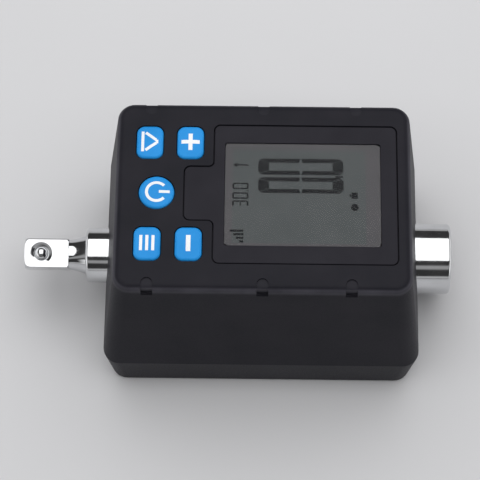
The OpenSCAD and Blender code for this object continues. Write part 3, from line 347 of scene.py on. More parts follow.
def foil_grid():
    """Etched foil of a strain gauge: fine bands along the shaft on an amber film."""
    finish = new_finish("gauge_foil", "c98b3a", 0.35)
    bands = {"Vector": place_on(finish, (0.0, 1.0, 1.0)), "Scale": 1 / (3 * mm), "Distortion": 0.0}
    wave = put(finish, "ShaderNodeTexWave", bands, bands_direction="Y").outputs["Fac"]
    feed(finish, "Base Color", tones(finish, wave, linear("b9772c"), linear("d8b07a")))
    feed(finish, "Roughness", between(finish, wave, 0.3, 0.45))
    return finish


def light_guide():
    """A clear acrylic block with a frosted underside."""
    finish = new_finish("guide_acrylic", "e4e8e6", 0.3, specular=0.5)
    finish.node_tree.nodes["Principled BSDF"].inputs["Alpha"].default_value = 0.75
    feed(finish, "Roughness", between(finish, speckle(finish, 0.4 * mm), 0.2, 0.4))
    return finish


def cell_wrap():
    """The printed sleeve of a cell, left plain: a dark body and a band of another tone."""
    finish = new_finish("cell_sleeve", "26303a", 0.3)
    place = put(finish, "ShaderNodeSeparateXYZ", {"Vector": place_on(finish)}).outputs["X"]
    band = between(finish, place, 0.0, 1.0, 10.0 * mm, 10.1 * mm)
    feed(finish, "Base Color", tones(finish, band, linear("2a343f"), linear("8f9aa3")))
    feed(finish, "Roughness", between(finish, speckle(finish, 2 * mm), 0.25, 0.38))
    return finish


finishes["lens_clear"] = clear_lens()
finishes["display_glass"] = clouded("display_glass", "5b5a5d", "615f62", 0.1)
finishes["board_green"] = circuit_board()
finishes["gauge_foil"] = foil_grid()
finishes["guide_acrylic"] = light_guide()
finishes["cell_sleeve"] = cell_wrap()
print(len(finishes), "finishes in all")

# %% Carry the finishes over to the CAD nodes
for name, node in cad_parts.items():
    for held in node.material_slots:
        held.material = finishes[held.material.name.split(".")[0]]
print(len(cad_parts), "nodes dressed")

# %% [markdown]
# ## The housing's skin
# The housing is moulded in two halves, and its shape is already right in the CAD, so building it
# again would only risk its fit. Its mesh is loose triangles: a copy is merged, its flat areas are
# joined, and its sharp outer edges get the small radius that a moulding tool leaves. Weighted
# normals keep the flats flat beside them. Both halves round the edge of their parting line, so the
# waist shows the fine groove that real halves have.

# %% Softened copies of CAD nodes
def softened(node, name, edge, chosen, sharpness=38):
    """A copy of a CAD node whose sharp edges get a small bevel, as wide as chosen(middles) weighs it."""
    skin = bmesh.new()
    skin.from_mesh(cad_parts[node].data)
    bmesh.ops.remove_doubles(skin, verts=skin.verts, dist=merge_gap)
    bmesh.ops.dissolve_limit(skin, angle_limit=math.radians(0.4), verts=skin.verts, edges=skin.edges)
    weight = skin.edges.layers.float.new("bevel_weight_edge")
    middles = np.array([(side.verts[0].co + side.verts[1].co) / 2 for side in skin.edges])
    turns = np.array([side.calc_face_angle(0.0) for side in skin.edges])
    soft = np.where(turns > math.radians(sharpness), chosen(middles / mm), 0.0)
    for side, value in zip(skin.edges, soft.tolist()):
        side[weight] = value
    mesh = bpy.data.meshes.new(name)
    skin.to_mesh(mesh)
    skin.free()
    smooth_up_to(mesh, sharpness)
    piece = put_in_scene(name, mesh)
    bevel = piece.modifiers.new("edge radius", "BEVEL")
    bevel.width = edge
    bevel.segments = 2
    bevel.limit_method = "WEIGHT"
    normals = piece.modifiers.new("even normals", "WEIGHTED_NORMAL")
    normals.keep_sharp = True
    print(name, int((soft > 0).sum()), "softened edges")
    return piece


# %% Edges to soften
face_height = 44.7
opening_depth = 1.7
axis_height = 13.0
waist_length = 67.9
waist_width = 50.6
edge_reach = 0.1
waist_share = 0.85
half_weight = 0.5


def on_the_waist(middles):
    """Outer edges at the parting height: (2x / length) ** 8 + (2y / width) ** 8 is near 1 or above."""
    across = (2 * middles[:, 0] / waist_length) ** 8 + (2 * middles[:, 1] / waist_width) ** 8
    return (np.abs(middles[:, 2] - axis_height) < edge_reach) & (across > waist_share)


def on_the_face(middles):
    """Edges of the openings and notches in the face by half, and the parting line's edge in full."""
    return np.maximum(half_weight * (middles[:, 2] > face_height - opening_depth), on_the_waist(middles))


def on_the_base(middles):
    """Edges of the screw recesses in the underside by half, and the parting line's edge in full."""
    return np.maximum(half_weight * (middles[:, 2] < edge_reach), on_the_waist(middles))


def everywhere(middles):
    """All edges, in full."""
    return np.ones(len(middles))


# %% Housing, panel and door
mould_radius = 0.24 * mm
fine_radius = 0.1 * mm
black = finishes["housing_black"]
housing_top = softened("upper_shell", "housing_top", mould_radius, on_the_face)
dress(housing_top, "housing", "housing_black", black, "upper_shell")
housing_base = softened("lower_shell", "housing_base", mould_radius, on_the_base)
dress(housing_base, "housing", "housing_black", black, "lower_shell")
bezel = softened("display_panel", "display_bezel", fine_radius, everywhere)
dress(bezel, "housing", "panel_black", finishes["panel_black"], "display_panel")
door = softened("battery_door", "battery_cover", fine_radius, everywhere)
dress(door, "battery_door", "housing_black", black, "battery_door")

# %% [markdown]
# ## The shaft
# The shaft is one bar of chromed steel: a square drive, a neck, a collar, the square sections that
# the gauges and the anchor hold, and a collar with the square socket. Cylinders and boxes could be
# joined, but chrome shows every seam, so one grid carries all of it. Each station has a place, a
# round radius and a half side: at an angle, the skin lies at the larger of the round radius and the
# square's distance, which a cap cuts off at its corners.

# %% Sizes along the shaft
drive_half = 3.175
drive_cap = 4.35
drive_roll = 18
drive_tip = -51.8
neck_end = -42.2
neck_gap = 0.05
neck_radii = (3.28, 4.25)
collar_start = -38.4
male_radius = 6.0
clip_back = 2.0
clip_half = 0.44
clip_depth = 0.64
journal_end = 23.389
gauge_shoulder = -21.589
gauge_ends = (-21.58, 10.58)
gauge_half = 4.2
gauge_cap = 5.8
cone_ends = (10.589, 12.389)
anchor_ends = (12.39, 23.38)
anchor_half = 5.3
anchor_cap = 7.35
female_radius = 7.7
female_end = 41.0
print("drive", 2 * drive_half, "mm across, shaft", female_end - drive_tip, "mm long")

# %% Kinds of stations
columns = 240


def eased(start, end, low, high, steps, power):
    """Stations from start to end, whose radius is low + (high - low) * share ** power."""
    share = np.linspace(0, 1, steps)
    return start + (end - start) * share, low + (high - low) * share ** power


def rounded_edge(start, end, low, high, steps=12):
    """Stations round a quarter ellipse, from an end face at low to the side at high."""
    turn = np.linspace(0, math.pi / 2, steps)
    return start + (end - start) * (1 - np.cos(turn)), low + (high - low) * np.sin(turn)


def rows(places, rounds, half=0.0, cap=99.0, roll=0.0):
    """Stations of one kind of section: place, round radius, half side, cap and roll."""
    places = np.atleast_1d(places).astype(float)
    return np.column_stack(np.broadcast_arrays(places, rounds, half, cap, roll))


def tip_rows(face=3.3, edge=0.95, flat_steps=5, back_drop=0.23):
    """The drive: its tip's rounded end face, its four flats, and corners that drop towards the neck."""
    tip_places, tip_caps = rounded_edge(drive_tip, drive_tip + edge, face, drive_cap)
    first_flat, last_flat = drive_tip + 1.3, neck_end - 0.25
    places = [*tip_places, *np.linspace(first_flat, last_flat, flat_steps), neck_end - neck_gap]
    caps = [*tip_caps, *np.full(flat_steps, drive_cap), drive_cap - back_drop]
    return rows(places, 0.0, drive_half, caps, drive_roll)


def collar_rows(start, end, radius, edge=0.7, face_drop=0.75):
    """A collar from its rounded end face to its journal, with the groove of its clip near the end."""
    side = 1 if end > start else -1
    along, out = rounded_edge(start, start + side * edge, radius - face_drop, radius)
    groove = end - side * clip_back + side * clip_half * np.array([-1, -1, 1, 1])
    bottom = radius - clip_depth
    groove_rows = rows(groove, [radius, bottom, bottom, radius])
    return np.concatenate([rows(along, out), groove_rows, rows(end, radius)])


# %% Stations of the whole bar
neck = eased(neck_end + neck_gap, collar_start, *neck_radii, steps=14, power=1.4)
outer = np.concatenate([
    tip_rows(),
    rows(*neck),
    collar_rows(collar_start, -journal_end, male_radius),
    rows(gauge_shoulder, gauge_half),
    rows(gauge_ends, 0.0, gauge_half, gauge_cap),
    rows(cone_ends, [gauge_half, anchor_half]),
    rows(anchor_ends, 0.0, anchor_half, anchor_cap),
    collar_rows(female_end, journal_end, female_radius)[::-1],
])
socket_half = 3.25
socket_cap = 4.5
socket_depth = 10.0
socket_floor = female_end - socket_depth
mouth_depth = 1.1
mouth_radius = 4.95
drill_radius = 3.2
drill_point = 1.6
floor_radius = 3.4
point_radius = 0.02
mouth = eased(female_end, female_end - mouth_depth, mouth_radius, drill_radius, steps=9, power=0.85)
wall_places = [female_end - 5.7, socket_floor + 0.1]
floor_places = [socket_floor, socket_floor, socket_floor - drill_point]
inner = np.concatenate([
    rows(*mouth, socket_half, socket_cap),
    rows(wall_places, 0.0, socket_half, socket_cap),
    rows(floor_places, [floor_radius, drill_radius, point_radius]),
])
stations = np.concatenate([outer, inner])
print(len(stations), "stations of", columns, "points")

# %% Skin of the shaft
def shaft_points(table):
    """Point at station x and angle t: (x, r sin t, axis + r cos t), r = max(round, min(square, cap))."""
    turn = np.arange(columns) * 2 * math.pi / columns
    place, radius, half, cap, roll = [column[:, None] for column in table.T]
    rolled = turn[None, :] + np.radians(roll)
    square = half / np.maximum(np.abs(np.cos(rolled)), np.abs(np.sin(rolled)))
    out = np.maximum(radius, np.minimum(square, cap))
    across = out * np.sin(turn)
    height = axis_height + out * np.cos(turn)
    return np.stack([np.broadcast_to(place, out.shape), across, height], axis=-1) * mm


shaft_crease = 14
shaft = make_skin("torque_bar", [shaft_points(stations)], shaft_crease)
print("shaft:", len(shaft.data.polygons), "faces")

# %% [markdown]
# The ball sits in a drilled hole with a dished rim, and the socket has a shallow recess in each wall
# for the ball of another drive. These holes stand square to the shaft, where the grid's columns
# can't follow their rims, so turned cutters take them out of the finished bar.

# %% Cutters for the holes
def turned_cutter(profile, sides=64):
    """A cutter round its own Z axis from rows of height and radius."""
    turn = np.arange(sides) * 2 * math.pi / sides
    height, radius = np.array(profile).T
    circle = np.stack([np.cos(turn), np.sin(turn)], axis=-1)
    flat = radius[:, None, None] * circle[None]
    heights = np.broadcast_to(height[:, None, None], (len(profile), sides, 1))
    return np.concatenate([flat, heights], axis=-1)


def stood_on_shaft(points, place, angle):
    """Cutter points turned about the shaft's axis and moved to a station, in metres."""
    turn = math.radians(angle)
    x, y, z = points[..., 0], points[..., 1], points[..., 2]
    across = y * math.cos(turn) - z * math.sin(turn)
    up = y * math.sin(turn) + z * math.cos(turn)
    return np.stack([x + place, across, up + axis_height], axis=-1) * mm


def cut(piece, cutter):
    """Takes a cutter out of a piece with an exact Boolean, and keeps the result as its mesh."""
    boolean = piece.modifiers.new("cut", "BOOLEAN")
    boolean.object = cutter
    boolean.solver = "EXACT"
    shaped = piece.evaluated_get(bpy.context.evaluated_depsgraph_get())
    mesh = bpy.data.meshes.new_from_object(shaped)
    piece.modifiers.clear()
    piece.data = mesh
    bpy.data.objects.remove(cutter)


# %% Holes for the balls
ball_place = -48.2
bore_floor = -1.425
ball_bore = [(bore_floor, 1.55), (2.84, 1.55), (2.88, 1.62), (3.2, 2.5), (3.6, 3.6)]
recess_place = female_end - 3.6
recess = [(2.9, 1.6), (3.8, 1.6), (3.92, 1.52), (3.95, 1.4)]
grids = [stood_on_shaft(turned_cutter(ball_bore), ball_place, drive_roll)]
grids += [stood_on_shaft(turned_cutter(recess), recess_place, angle) for angle in (0, 90, 180, 270)]
cut(shaft, make_skin("cutter", grids))
smooth_up_to(shaft.data, shaft_crease)
dress(shaft, "housing", "shaft_chrome", finishes["shaft_chrome"], "torque_shaft")

# %% The detent ball
ball_radius = 1.5
ball_middle = 2.375
turn = np.linspace(0.02, math.pi - 0.02, 40)
meridian = np.column_stack([ball_middle + ball_radius * np.cos(turn), ball_radius * np.sin(turn)])
ball = make_skin("ball", [stood_on_shaft(turned_cutter(meridian, sides=72), ball_place, drive_roll)])
dress(ball, "detent_ball", "shaft_chrome", finishes["shaft_chrome"], "detent_ball")

# %% [markdown]
# ## The keys
# Each key is moulded in blue silicone: a flange that holds it under the roof, a stem in its hole,
# a rounded edge and a crown that rises to the middle. A subdivided box would look alike, but its
# flange and its hole would fit only by trial. Here the rings are rounded rectangles at one height
# after another, and the crown adds (1 - u u)(1 - v v) of its rise to the inner ones. The round key
# takes the same rings with circles, and a crown of 1 - u u - v v.

# %% Rounded outlines
def rounded_outline(half_x, half_y, radius, count=96):
    """Four quarter circles joined by straight lines, resampled to equal steps."""
    quarter = np.linspace(0, math.pi / 2, 24)
    turn = quarter[None, :] + np.arange(4)[:, None] * math.pi / 2
    signs = np.array([[1, 1], [-1, 1], [-1, -1], [1, -1]])
    middle = signs * [half_x - radius, half_y - radius]
    ring = middle[:, None, :] + radius * np.stack([np.cos(turn), np.sin(turn)], axis=-1)
    ring = np.concatenate([ring.reshape(-1, 2), ring[0, :1]])
    run = np.concatenate([[0], np.cumsum(np.hypot(*np.diff(ring, axis=0).T))])
    steps = np.arange(count) * run[-1] / count
    return np.column_stack([np.interp(steps, run, ring[:, 0]), np.interp(steps, run, ring[:, 1])])


# %% Rings of a key
key_rise = 0.5
key_edge = 0.7
key_crown = 0.2
flange_bottom = 41.25
flange_top = 42.05
flange_reach = 0.6
flange_edge = 0.1
edge_turn = math.radians(76)
crown_inset = key_edge * (1 - math.cos(edge_turn))
shoulder = face_height + key_rise - key_crown - key_edge
stem_top = shoulder - 0.3
crown_base = shoulder + key_edge * math.sin(edge_turn)


def crown(x, y, half_x, half_y, square):
    """Rise of the crown: 1 - u u - v v, plus u u v v on a rectangular key, and 0 outside it."""
    u, v = (x / half_x) ** 2, (y / half_y) ** 2
    return key_crown * np.clip(1 - u - v + (u * v if square else 0), 0, 1) * (u < 1) * (v < 1)


def key_rings(half_x, half_y, radius, square, crown_steps=15):
    """Rings of a key from the flange's underside to the middle of its crown, about its own middle."""
    turn = np.linspace(0, edge_turn, 9)
    low, high = flange_bottom + flange_edge, flange_top - flange_edge
    stem_insets = [-flange_reach, -flange_reach, flange_edge - flange_reach, 0, 0]
    stem_heights = [low, high, flange_top, flange_top, stem_top]
    insets = np.concatenate([stem_insets, key_edge * (1 - np.cos(turn))])
    edge_heights = shoulder + key_edge * np.sin(turn)
    heights = np.concatenate([stem_heights, edge_heights, np.full(crown_steps, crown_base)])
    outlines = [rounded_outline(half_x - inset, half_y - inset, radius - inset) for inset in insets]
    inner_ring = outlines[-1]
    outlines += [inner_ring * share for share in np.linspace(1, 0.04, crown_steps + 1)[1:]]
    rings = np.stack(outlines)
    rise = crown(rings[..., 0], rings[..., 1], half_x - crown_inset, half_y - crown_inset, square)
    rise = rise * (np.arange(len(rings)) >= len(stem_insets))[:, None]
    return np.concatenate([rings, (heights[:, None] + rise)[..., None]], axis=-1)


# %% Rings become keys
keys = {
    "peak": (-23.7, 11.95, 2.8, 3.75, 1.7),
    "plus": (-15.25, 11.95, 2.8, 3.75, 1.7),
    "power": (-22.05, 0.4, 3.7, 3.7, 3.7),
    "menu": (-23.7, -11.15, 2.8, 3.75, 1.7),
    "minus": (-15.25, -11.15, 2.8, 3.75, 1.7),
}
for name, (x, y, half_x, half_y, radius) in keys.items():
    rings = (key_rings(half_x, half_y, radius, name != "power") + [x, y, 0]) * mm
    key = make_skin(name + "_cap", [rings])
    dress(key, name + "_key", "key_blue", finishes["key_blue"], name + "_key")

# %% [markdown]
# The symbols are printed in white. Curves could be projected on the keys, but a mesh that follows
# the crown by its formula needs no projection. Each symbol is made of ribbons a hundredth of a
# millimetre above the crown: a ribbon's middle line is carried to both sides by half its width. The
# symbols read with their tops towards the shaft's socket, as the photograph has them.

# %% Ribbons of ink
ink_lift = 0.012
ink_sink = 0.05


def crown_height(name, x, y):
    """Height of a key's crown over a place x, y from the key's middle."""
    _, _, half_x, half_y, _ = keys[name]
    return crown_base + crown(x, y, half_x - crown_inset, half_y - crown_inset, name != "power")


def ribbon(name, line, width):
    """Closed band round a line on a key: points across it on top, then back along the underside."""
    line = np.asarray(line, float)
    heading = np.gradient(line, axis=0)
    heading /= np.linalg.norm(heading, axis=1)[:, None]
    beside = np.stack([-heading[:, 1], heading[:, 0]], axis=-1)
    shares = np.linspace(-0.5, 0.5, 7)
    spread = line[:, None, :] + beside[:, None, :] * (shares * width)[None, :, None]
    height = crown_height(name, spread[..., 0], spread[..., 1])[..., None]
    top = np.concatenate([spread, height + ink_lift], axis=-1)
    under = np.concatenate([spread, height - ink_sink], axis=-1)[:, ::-1]
    return np.concatenate([top, under], axis=1)


def straight(start, end, steps=9):
    """Points from one place to another."""
    return np.linspace(start, end, steps)


def arc(radius, first, last, middle=(0, 0), steps=49):
    """Points on a circle between two angles in degrees, from the +X direction."""
    turn = np.radians(np.linspace(first, last, steps))
    return np.column_stack([middle[0] + radius * np.cos(turn), middle[1] + radius * np.sin(turn)])


# %% Symbols on the keys
symbols = {
    "plus": [(straight((-1.9, 0), (1.9, 0)), 0.85), (straight((0, 0.425), (0, 1.9)), 0.85),
             (straight((0, -0.425), (0, -1.9)), 0.85)],
    "minus": [(straight((0, -1.8), (0, 1.8)), 0.95)],
    "power": [(arc(2.05, 42, 318), 0.62), (straight((0.5, 0), (2.75, 0)), 0.62)],
    "menu": [(straight((offset, -1.7), (offset, 1.7)), 0.62) for offset in (-1.25, 0, 1.25)],
    "peak": [(straight((-1.5, -2.3), (-1.5, 2.3)), 0.6), (straight((-0.9, -2.0), (1.3, -0.35)), 0.62),
             (straight((1.3, 0.35), (-0.9, 2.0)), 0.62), (straight((1.45, -0.42), (1.45, 0.42)), 0.55)],
}
ink_white = moulded("key_print", "e9ecef", "f4f5f6", 0.1 * mm, 0.002 * mm, 0.45, 0.3)
for name, strokes in symbols.items():
    x, y = keys[name][:2]
    bands = [(ribbon(name, line, width) + [x, y, 0]) * mm for line, width in strokes]
    dress(make_skin(name + "_symbol", bands), name + "_key", "white_plastic", ink_white)

# %% [markdown]
# ## The display
# The display's cell fills the window almost up to the panel, with a thin clear cover over it, so no
# dark wall shows round it. A film on the cell carries the figures of a plain reading. A texture
# could draw them, but thin prisms stay sharp at any distance. A figure is made of seven bars with
# slanted ends. The display reads with its top towards the keys, so a figure's height runs along the
# shaft and its width across it.

# %% Cell and cover in the window
lens_low, lens_high = [np.array(corner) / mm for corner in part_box("window_lens")]
lens_rim = 0.9
window_half = (lens_high - lens_low)[:2] / 2 - lens_rim
window_middle = (lens_high + lens_low)[:2] / 2
window_corner = 0.5
cell_bottom = 43.1
cell_top = 44.3
cover_bottom = cell_top + 0.06
cover_top = face_height - 0.16


def window_plate(low, high, gap, edge=0.04):
    """Outlines of the window, smaller by a gap, at one height after another, with a broken upper edge."""
    rings = []
    for height, inset in ((low, gap), (high - edge, gap), (high, gap + edge)):
        outline = rounded_outline(*(window_half - inset), window_corner - inset) + window_middle
        rings.append(np.column_stack([outline, np.full(len(outline), height)]))
    return np.stack(rings) * mm


display_cell = make_skin("display_cell", [window_plate(cell_bottom, cell_top, gap=0.04)])
dress(display_cell, "housing", "display_glass", finishes["display_glass"])
cover = make_skin("window_cover", [window_plate(cover_bottom, cover_top, gap=0.02)])
dress(cover, "housing", "lens_clear", finishes["lens_clear"], "window_lens")

# %% Flat marks
def block(low_x, high_x, low_y, high_y):
    """Outline of an upright rectangle."""
    return [(low_x, low_y), (high_x, low_y), (high_x, high_y), (low_x, high_y)]


def make_marks(name, outlines, low, high):
    """Thin prisms: each outline at a low and a high height, both as faces, with quads between them."""
    points, faces, count = [], [], 0
    for outline in outlines:
        size = len(outline)
        points += [np.column_stack([outline, np.full(size, height)]) * mm for height in (low, high)]
        lower = np.arange(size) + count
        after = np.roll(lower, -1)
        walls = np.stack([lower, after, after + size, lower + size], axis=-1)
        faces += [lower.tolist(), (lower + size).tolist(), *walls.tolist()]
        count += 2 * size
    return put_in_scene(name, closed_mesh(name, points, faces))


# %% Seven-bar figures
def figure_bars(top, left, shown, height, width, upright, cross, gap):
    """The bars of a figure as (down, across), mitred from the corner's cut to the inner corner."""
    middle, cut_off, half = height / 2, 0.8 * upright, 0.3 * upright
    mitre = np.array([[cut_off / 2, cut_off / 2], [cross, upright]])
    along = mitre[1] - mitre[0]
    aside = gap / 2 * np.array([-along[1], along[0]]) / np.hypot(*along)
    end_half = np.array([[0, cut_off], *(mitre + aside)])
    end_bar = np.concatenate([end_half, (end_half * [1, -1] + [0, width])[::-1]])
    inner_end = [middle - half - gap, upright]
    side_bar = np.array([[cut_off, 0], *(mitre - aside), inner_end, [middle - gap, 0]])
    middle_half = np.array([[middle, gap], [middle - half, upright], [middle - half, width - upright]])
    down, across = np.array([height, 0]), np.array([0, width])
    bars = {
        "a": end_bar,
        "b": side_bar * [1, -1] + across,
        "c": side_bar * [-1, -1] + across + down,
        "d": end_bar * [-1, 1] + down,
        "e": side_bar * [-1, 1] + down,
        "f": side_bar,
        "g": np.concatenate([middle_half, middle_half * [-1, -1] + across + down]),
    }
    return [bars[name] + [top, left] for name in shown]


# %% A plain reading
large = {"height": 17.7, "upright": 0.95, "cross": 2.3, "gap": 0.1}
small = {"height": 3.35, "width": 1.45, "upright": 0.32, "cross": 0.36, "gap": 0.05}
large_top = -1.1
small_top = -6.4
arrow = [(-6.4, 7.65), (-5.4, 7.1), (-5.4, 7.5), (-3.1, 7.5), (-3.1, 7.8), (-5.4, 7.8), (-5.4, 8.2)]
level_foot = -4.0
level_steps = ((-10.0, 0.9), (-9.2, 1.5), (-8.4, 2.1), (-7.6, 2.8))
marks = figure_bars(large_top, 1.3, "abcdef", width=3.6, **large)
marks += figure_bars(large_top, 5.5, "abcdef", width=3.7, **large)
for left, shown in ((-1.95, "abcdg"), (-0.1, "abcdef"), (2.1, "abcdef")):
    marks += figure_bars(small_top, left, shown, **small)
marks += [block(14.9, 16.5, 4.95, 5.35), block(-3.45, -3.05, 1.6, 1.85), arrow]
marks += [block(level_foot - rise, level_foot, left, left + 0.5) for left, rise in level_steps]
round_mark = arc(0.8, 0, 345, middle=(18.9, -1.8), steps=24)
marks += [block(18.2, 19.5, 0.2, 1.6), block(17.8, 18.1, 0.6, 1.2), round_mark]
print(len(marks), "marks on the display")

# %% Film and ink on the cell
mark_shift = (0, -0.56)
film_top = cell_top + 0.02
ink_top = film_top + 0.03
ink_finish = moulded("display_ink", "18191c", "1e1f22", 0.2 * mm, 0.001 * mm, 0.4, 0.1)
film_finish = clouded("display_film", "565b5c", "5c6061", 0.1)
film = make_marks("display_film", [block(-6.4, 21.2, -10.66, 10.64)], cell_top, film_top)
dress(film, "housing", "display_glass", film_finish)
shifted = [np.asarray(outline) + mark_shift for outline in marks]
figures = make_marks("display_figures", shifted, film_top, ink_top)
dress(figures, "housing", "display_glass", ink_finish)

# %% [markdown]
# ## Seals, cells and springs
# A soft ring closes the gap between each collar and the housing. The cells are drawn steel cans in
# a plastic sleeve, and each presses on a cone spring. They show when the battery door slides off.
# A Screw modifier could turn their profiles, but as arrays the rows keep their exact places, and a
# ring's last row can be its first again.

# %% Seals round the shaft
def around_shaft(profile, sides=96):
    """Rows of place along the shaft and radius, turned round its axis, in metres."""
    turn = np.arange(sides) * 2 * math.pi / sides
    place, radius = np.array(profile).T
    across = radius[:, None] * np.sin(turn)
    up = axis_height + radius[:, None] * np.cos(turn)
    return np.stack([np.broadcast_to(place[:, None], across.shape), across, up], axis=-1) * mm


def seal_profile(place, radius, section, steps=24):
    """A circle round a place and a radius: place + s sin a, radius + s cos a."""
    bend = np.arange(steps) * 2 * math.pi / steps
    return np.column_stack([place + section * np.sin(bend), radius + section * np.cos(bend)])


seal_place = 31.589
seal_section = 0.7
for name, place, radius in (("male", -seal_place, 6.725), ("female", seal_place, 8.425)):
    ring = around_shaft(seal_profile(place, radius, seal_section), sides=120)
    seal = make_skin(name + "_seal_ring", [ring], crease=60, closed=looped)
    dress(seal, "housing", "seal_rubber", finishes["seal_rubber"], name + "_seal")

# %% Cells in their sleeves
cell_row = 15.228
cells = {"upper": (1, 31.95), "lower": (-1, 21.25)}
can_profile = [(23.6, 0.02), (23.6, 1.5), (23.5, 1.78), (23.3, 1.9), (22.85, 1.95), (22.8, 2.3),
               (22.8, 4.3), (22.65, 4.8), (22.3, 5.05), (21.8, 5.12), (-20.2, 5.12), (-20.6, 5.0),
               (-20.85, 4.6), (-20.85, 3.4), (-20.7, 3.2), (-20.7, 0.02)]
sleeve_profile = [(22.45, 4.3), (22.6, 4.9), (22.4, 5.15), (22.1, 5.25), (-20.3, 5.25), (-20.6, 5.15),
                  (-20.9, 4.85), (-20.8, 4.4), (-20.5, 5.1), (22.0, 5.1)]


def cell_points(profile, way, height):
    """A profile along X, turned round a cell's own line, which may point the other way."""
    turned_rows = around_shaft(profile) / mm
    return (turned_rows * [way, 1, 1] + [0, cell_row, height - axis_height]) * mm


for name, (way, height) in cells.items():
    can = make_skin(name + "_cell_can", [cell_points(can_profile, way, height)])
    dress(can, "cells", "bright_steel", finishes["bright_steel"], name + "_cell")
    sleeve = make_skin(name + "_cell_sleeve", [cell_points(sleeve_profile, way, height)], closed=looped)
    dress(sleeve, "cells", "cell_sleeve", finishes["cell_sleeve"])

# %% [markdown]
# The springs are wire wound on a cone or a cylinder. A curve with a bevel could draw them; here a
# circle of the wire's radius is carried along the winding, which rests flat for half a turn at each
# end. The ball's spring can't follow the ball as a rigid piece, so it rides on the housing with a
# mesh of its own.

# %% Wound wire
def coil(low, high, wide, narrow, turns, wire, sides=14, steps=40, seat=0.5):
    """Wire round a line of (r cos t, r sin t, h): r narrows with t, and h rests at both seats."""
    wound = np.linspace(0, turns, round(turns * steps) + 1)
    out = wide + (narrow - wide) * wound / turns
    height = low + (high - low) * np.clip((wound - seat) / (turns - 2 * seat), 0, 1)
    turn = 2 * math.pi * wound
    line = np.column_stack([out * np.cos(turn), out * np.sin(turn), height])
    heading = np.gradient(line, axis=0)
    heading /= np.linalg.norm(heading, axis=1)[:, None]
    outward = np.column_stack([np.cos(turn), np.sin(turn), np.zeros(len(turn))])
    beside = np.cross(heading, outward)
    beside /= np.linalg.norm(beside, axis=1)[:, None]
    outward = np.cross(beside, heading)
    around = (np.arange(sides) * 2 * math.pi / sides)[None, :, None]
    ring = outward[:, None] * np.cos(around) + beside[:, None] * np.sin(around)
    return line[:, None] + ring * wire / 2


# %% The ball's spring
ball_coil = coil(bore_floor + 0.17, 0.99, wide=0.95, narrow=0.95, turns=4.5, wire=0.3)
ball_spring = make_skin("ball_spring", [stood_on_shaft(ball_coil, ball_place, drive_roll)], crease=60)
dress(ball_spring, "housing", "bright_steel", finishes["bright_steel"], "detent_spring")
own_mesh(ball_spring)

# %% The cells' springs
cone_wire = 0.5
plate_face = 23.65
cone = coil(0.0, 2.2, wide=2.8, narrow=1.5, turns=3, wire=cone_wire)
contact_coils = []
for way, height in cells.values():
    along = way * (cone[..., 2] + cone_wire / 2 - plate_face)
    contact_coils.append(np.stack([along, cone[..., 1] + cell_row, cone[..., 0] + height], axis=-1) * mm)
cell_springs = make_skin("cell_springs", contact_coils, crease=60)
dress(cell_springs, "housing", "bright_steel", finishes["bright_steel"], "contact_springs")

# %% [markdown]
# ## Camera, floor and light
# The camera stands where the photographer's stood, above and in front of the face, and sees the
# part alone. A wide soft box hangs over the part, as the bands in the chrome of the photograph
# show. Chrome mirrors its whole surroundings and looks flat in an even world, so the plain room has
# paler and darker zones, one above another, that give the metal its lines. Its two flanks are
# brighter, which rounded corners that face sideways pick up.

# %% Camera
camera_data = bpy.data.cameras.new("camera")
camera_data.lens = 164
camera_data.sensor_width = 36
camera_data.clip_start = 0.01
camera = put_in_scene("camera", camera_data)
camera.location = (-0.0024, -0.1928, 0.4527)
target = Vector((-0.0048, 0.0, 0.022))
camera.rotation_mode = "QUATERNION"
camera.rotation_quaternion = (target - camera.location).to_track_quat("-Z", "Y")
bpy.context.scene.camera = camera
print("camera to part, mm:", round((target - camera.location).length / mm))

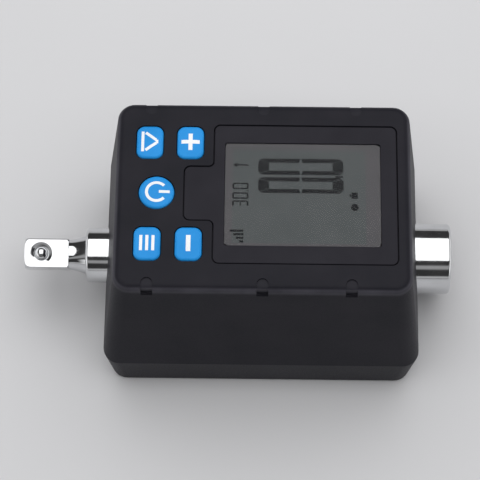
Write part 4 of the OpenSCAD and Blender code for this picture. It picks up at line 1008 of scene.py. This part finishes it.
# %% Floor
floor_reach = 3
floor_finish = new_finish("floor_pale", "d6d6d8", 0.6, specular=0.1)
patch = speckle(floor_finish, 60 * mm, detail=3.0)
feed(floor_finish, "Base Color", tones(floor_finish, patch, linear("d4d4d6"), linear("d8d8da")))
corners = [(x * floor_reach, y * floor_reach, 0) for x, y in ((-1, -1), (1, -1), (1, 1), (-1, 1))]
floor_mesh = bpy.data.meshes.new("floor")
floor_mesh.from_pydata(corners, [], [(0, 1, 2, 3)])
floor_mesh.materials.append(floor_finish)
floor = put_in_scene("floor", floor_mesh)
floor.location.z = -0.05 * mm
print("floor:", 2 * floor_reach, "m wide")

# %% Soft box
box_data = bpy.data.lights.new("soft_box", "AREA")
box_data.shape = "RECTANGLE"
box_data.size = 0.8
box_data.size_y = 0.92
box_data.energy = 4.6
soft_box = put_in_scene("soft_box", box_data)
soft_box.location = (0.0, 0.15, 0.57)
soft_box.visible_camera = False
print("soft box:", box_data.energy, "W")

# %% Room
world = bpy.data.worlds.new("room")
world.use_nodes = True
bpy.context.scene.world = world
direction = put(world, "ShaderNodeTexCoord", {}).outputs["Generated"]
parts = put(world, "ShaderNodeSeparateXYZ", {"Vector": direction}).outputs


def zoned(zones):
    """Grey levels over the height of a direction, from 0 at the horizon to 1 straight up."""
    ramp = put(world, "ShaderNodeValToRGB", {"Fac": parts["Z"]})
    while len(ramp.color_ramp.elements) < len(zones):
        ramp.color_ramp.elements.new(0.5)
    for stop, (place, level) in zip(ramp.color_ramp.elements, zones):
        stop.position = place
        stop.color = (level, level, level, 1)
    return ramp.outputs["Color"]


dark, pale, middling, flank_level = 0.045, 0.55, 0.4, 1.4
skirting = [(0.0, pale), (0.1, pale), (0.14, dark)]
front_zones = skirting + [(0.48, dark), (0.56, middling), (0.66, middling), (0.72, dark)]
behind = between(world, parts["Y"], 0.0, 1.0, -0.15, 0.15)
outward = put(world, "ShaderNodeMath", {0: parts["X"]}, operation="ABSOLUTE").outputs["Value"]
beside = between(world, outward, 0.0, 1.0, 0.55, 0.7)
below = between(world, parts["Z"], 1.0, 0.0, 0.36, 0.46)
flank = put(world, "ShaderNodeMath", {0: beside, 1: below}, operation="MULTIPLY").outputs["Value"]
ends = tones(world, behind, zoned(front_zones), zoned(skirting))
walls = tones(world, flank, ends, (flank_level, flank_level, flank_level, 1))
world.node_tree.links.new(walls, world.node_tree.nodes["Background"].inputs["Color"])
bpy.context.scene.view_settings.view_transform = "Standard"
print(len(front_zones), "zones in front,", len(skirting), "behind")
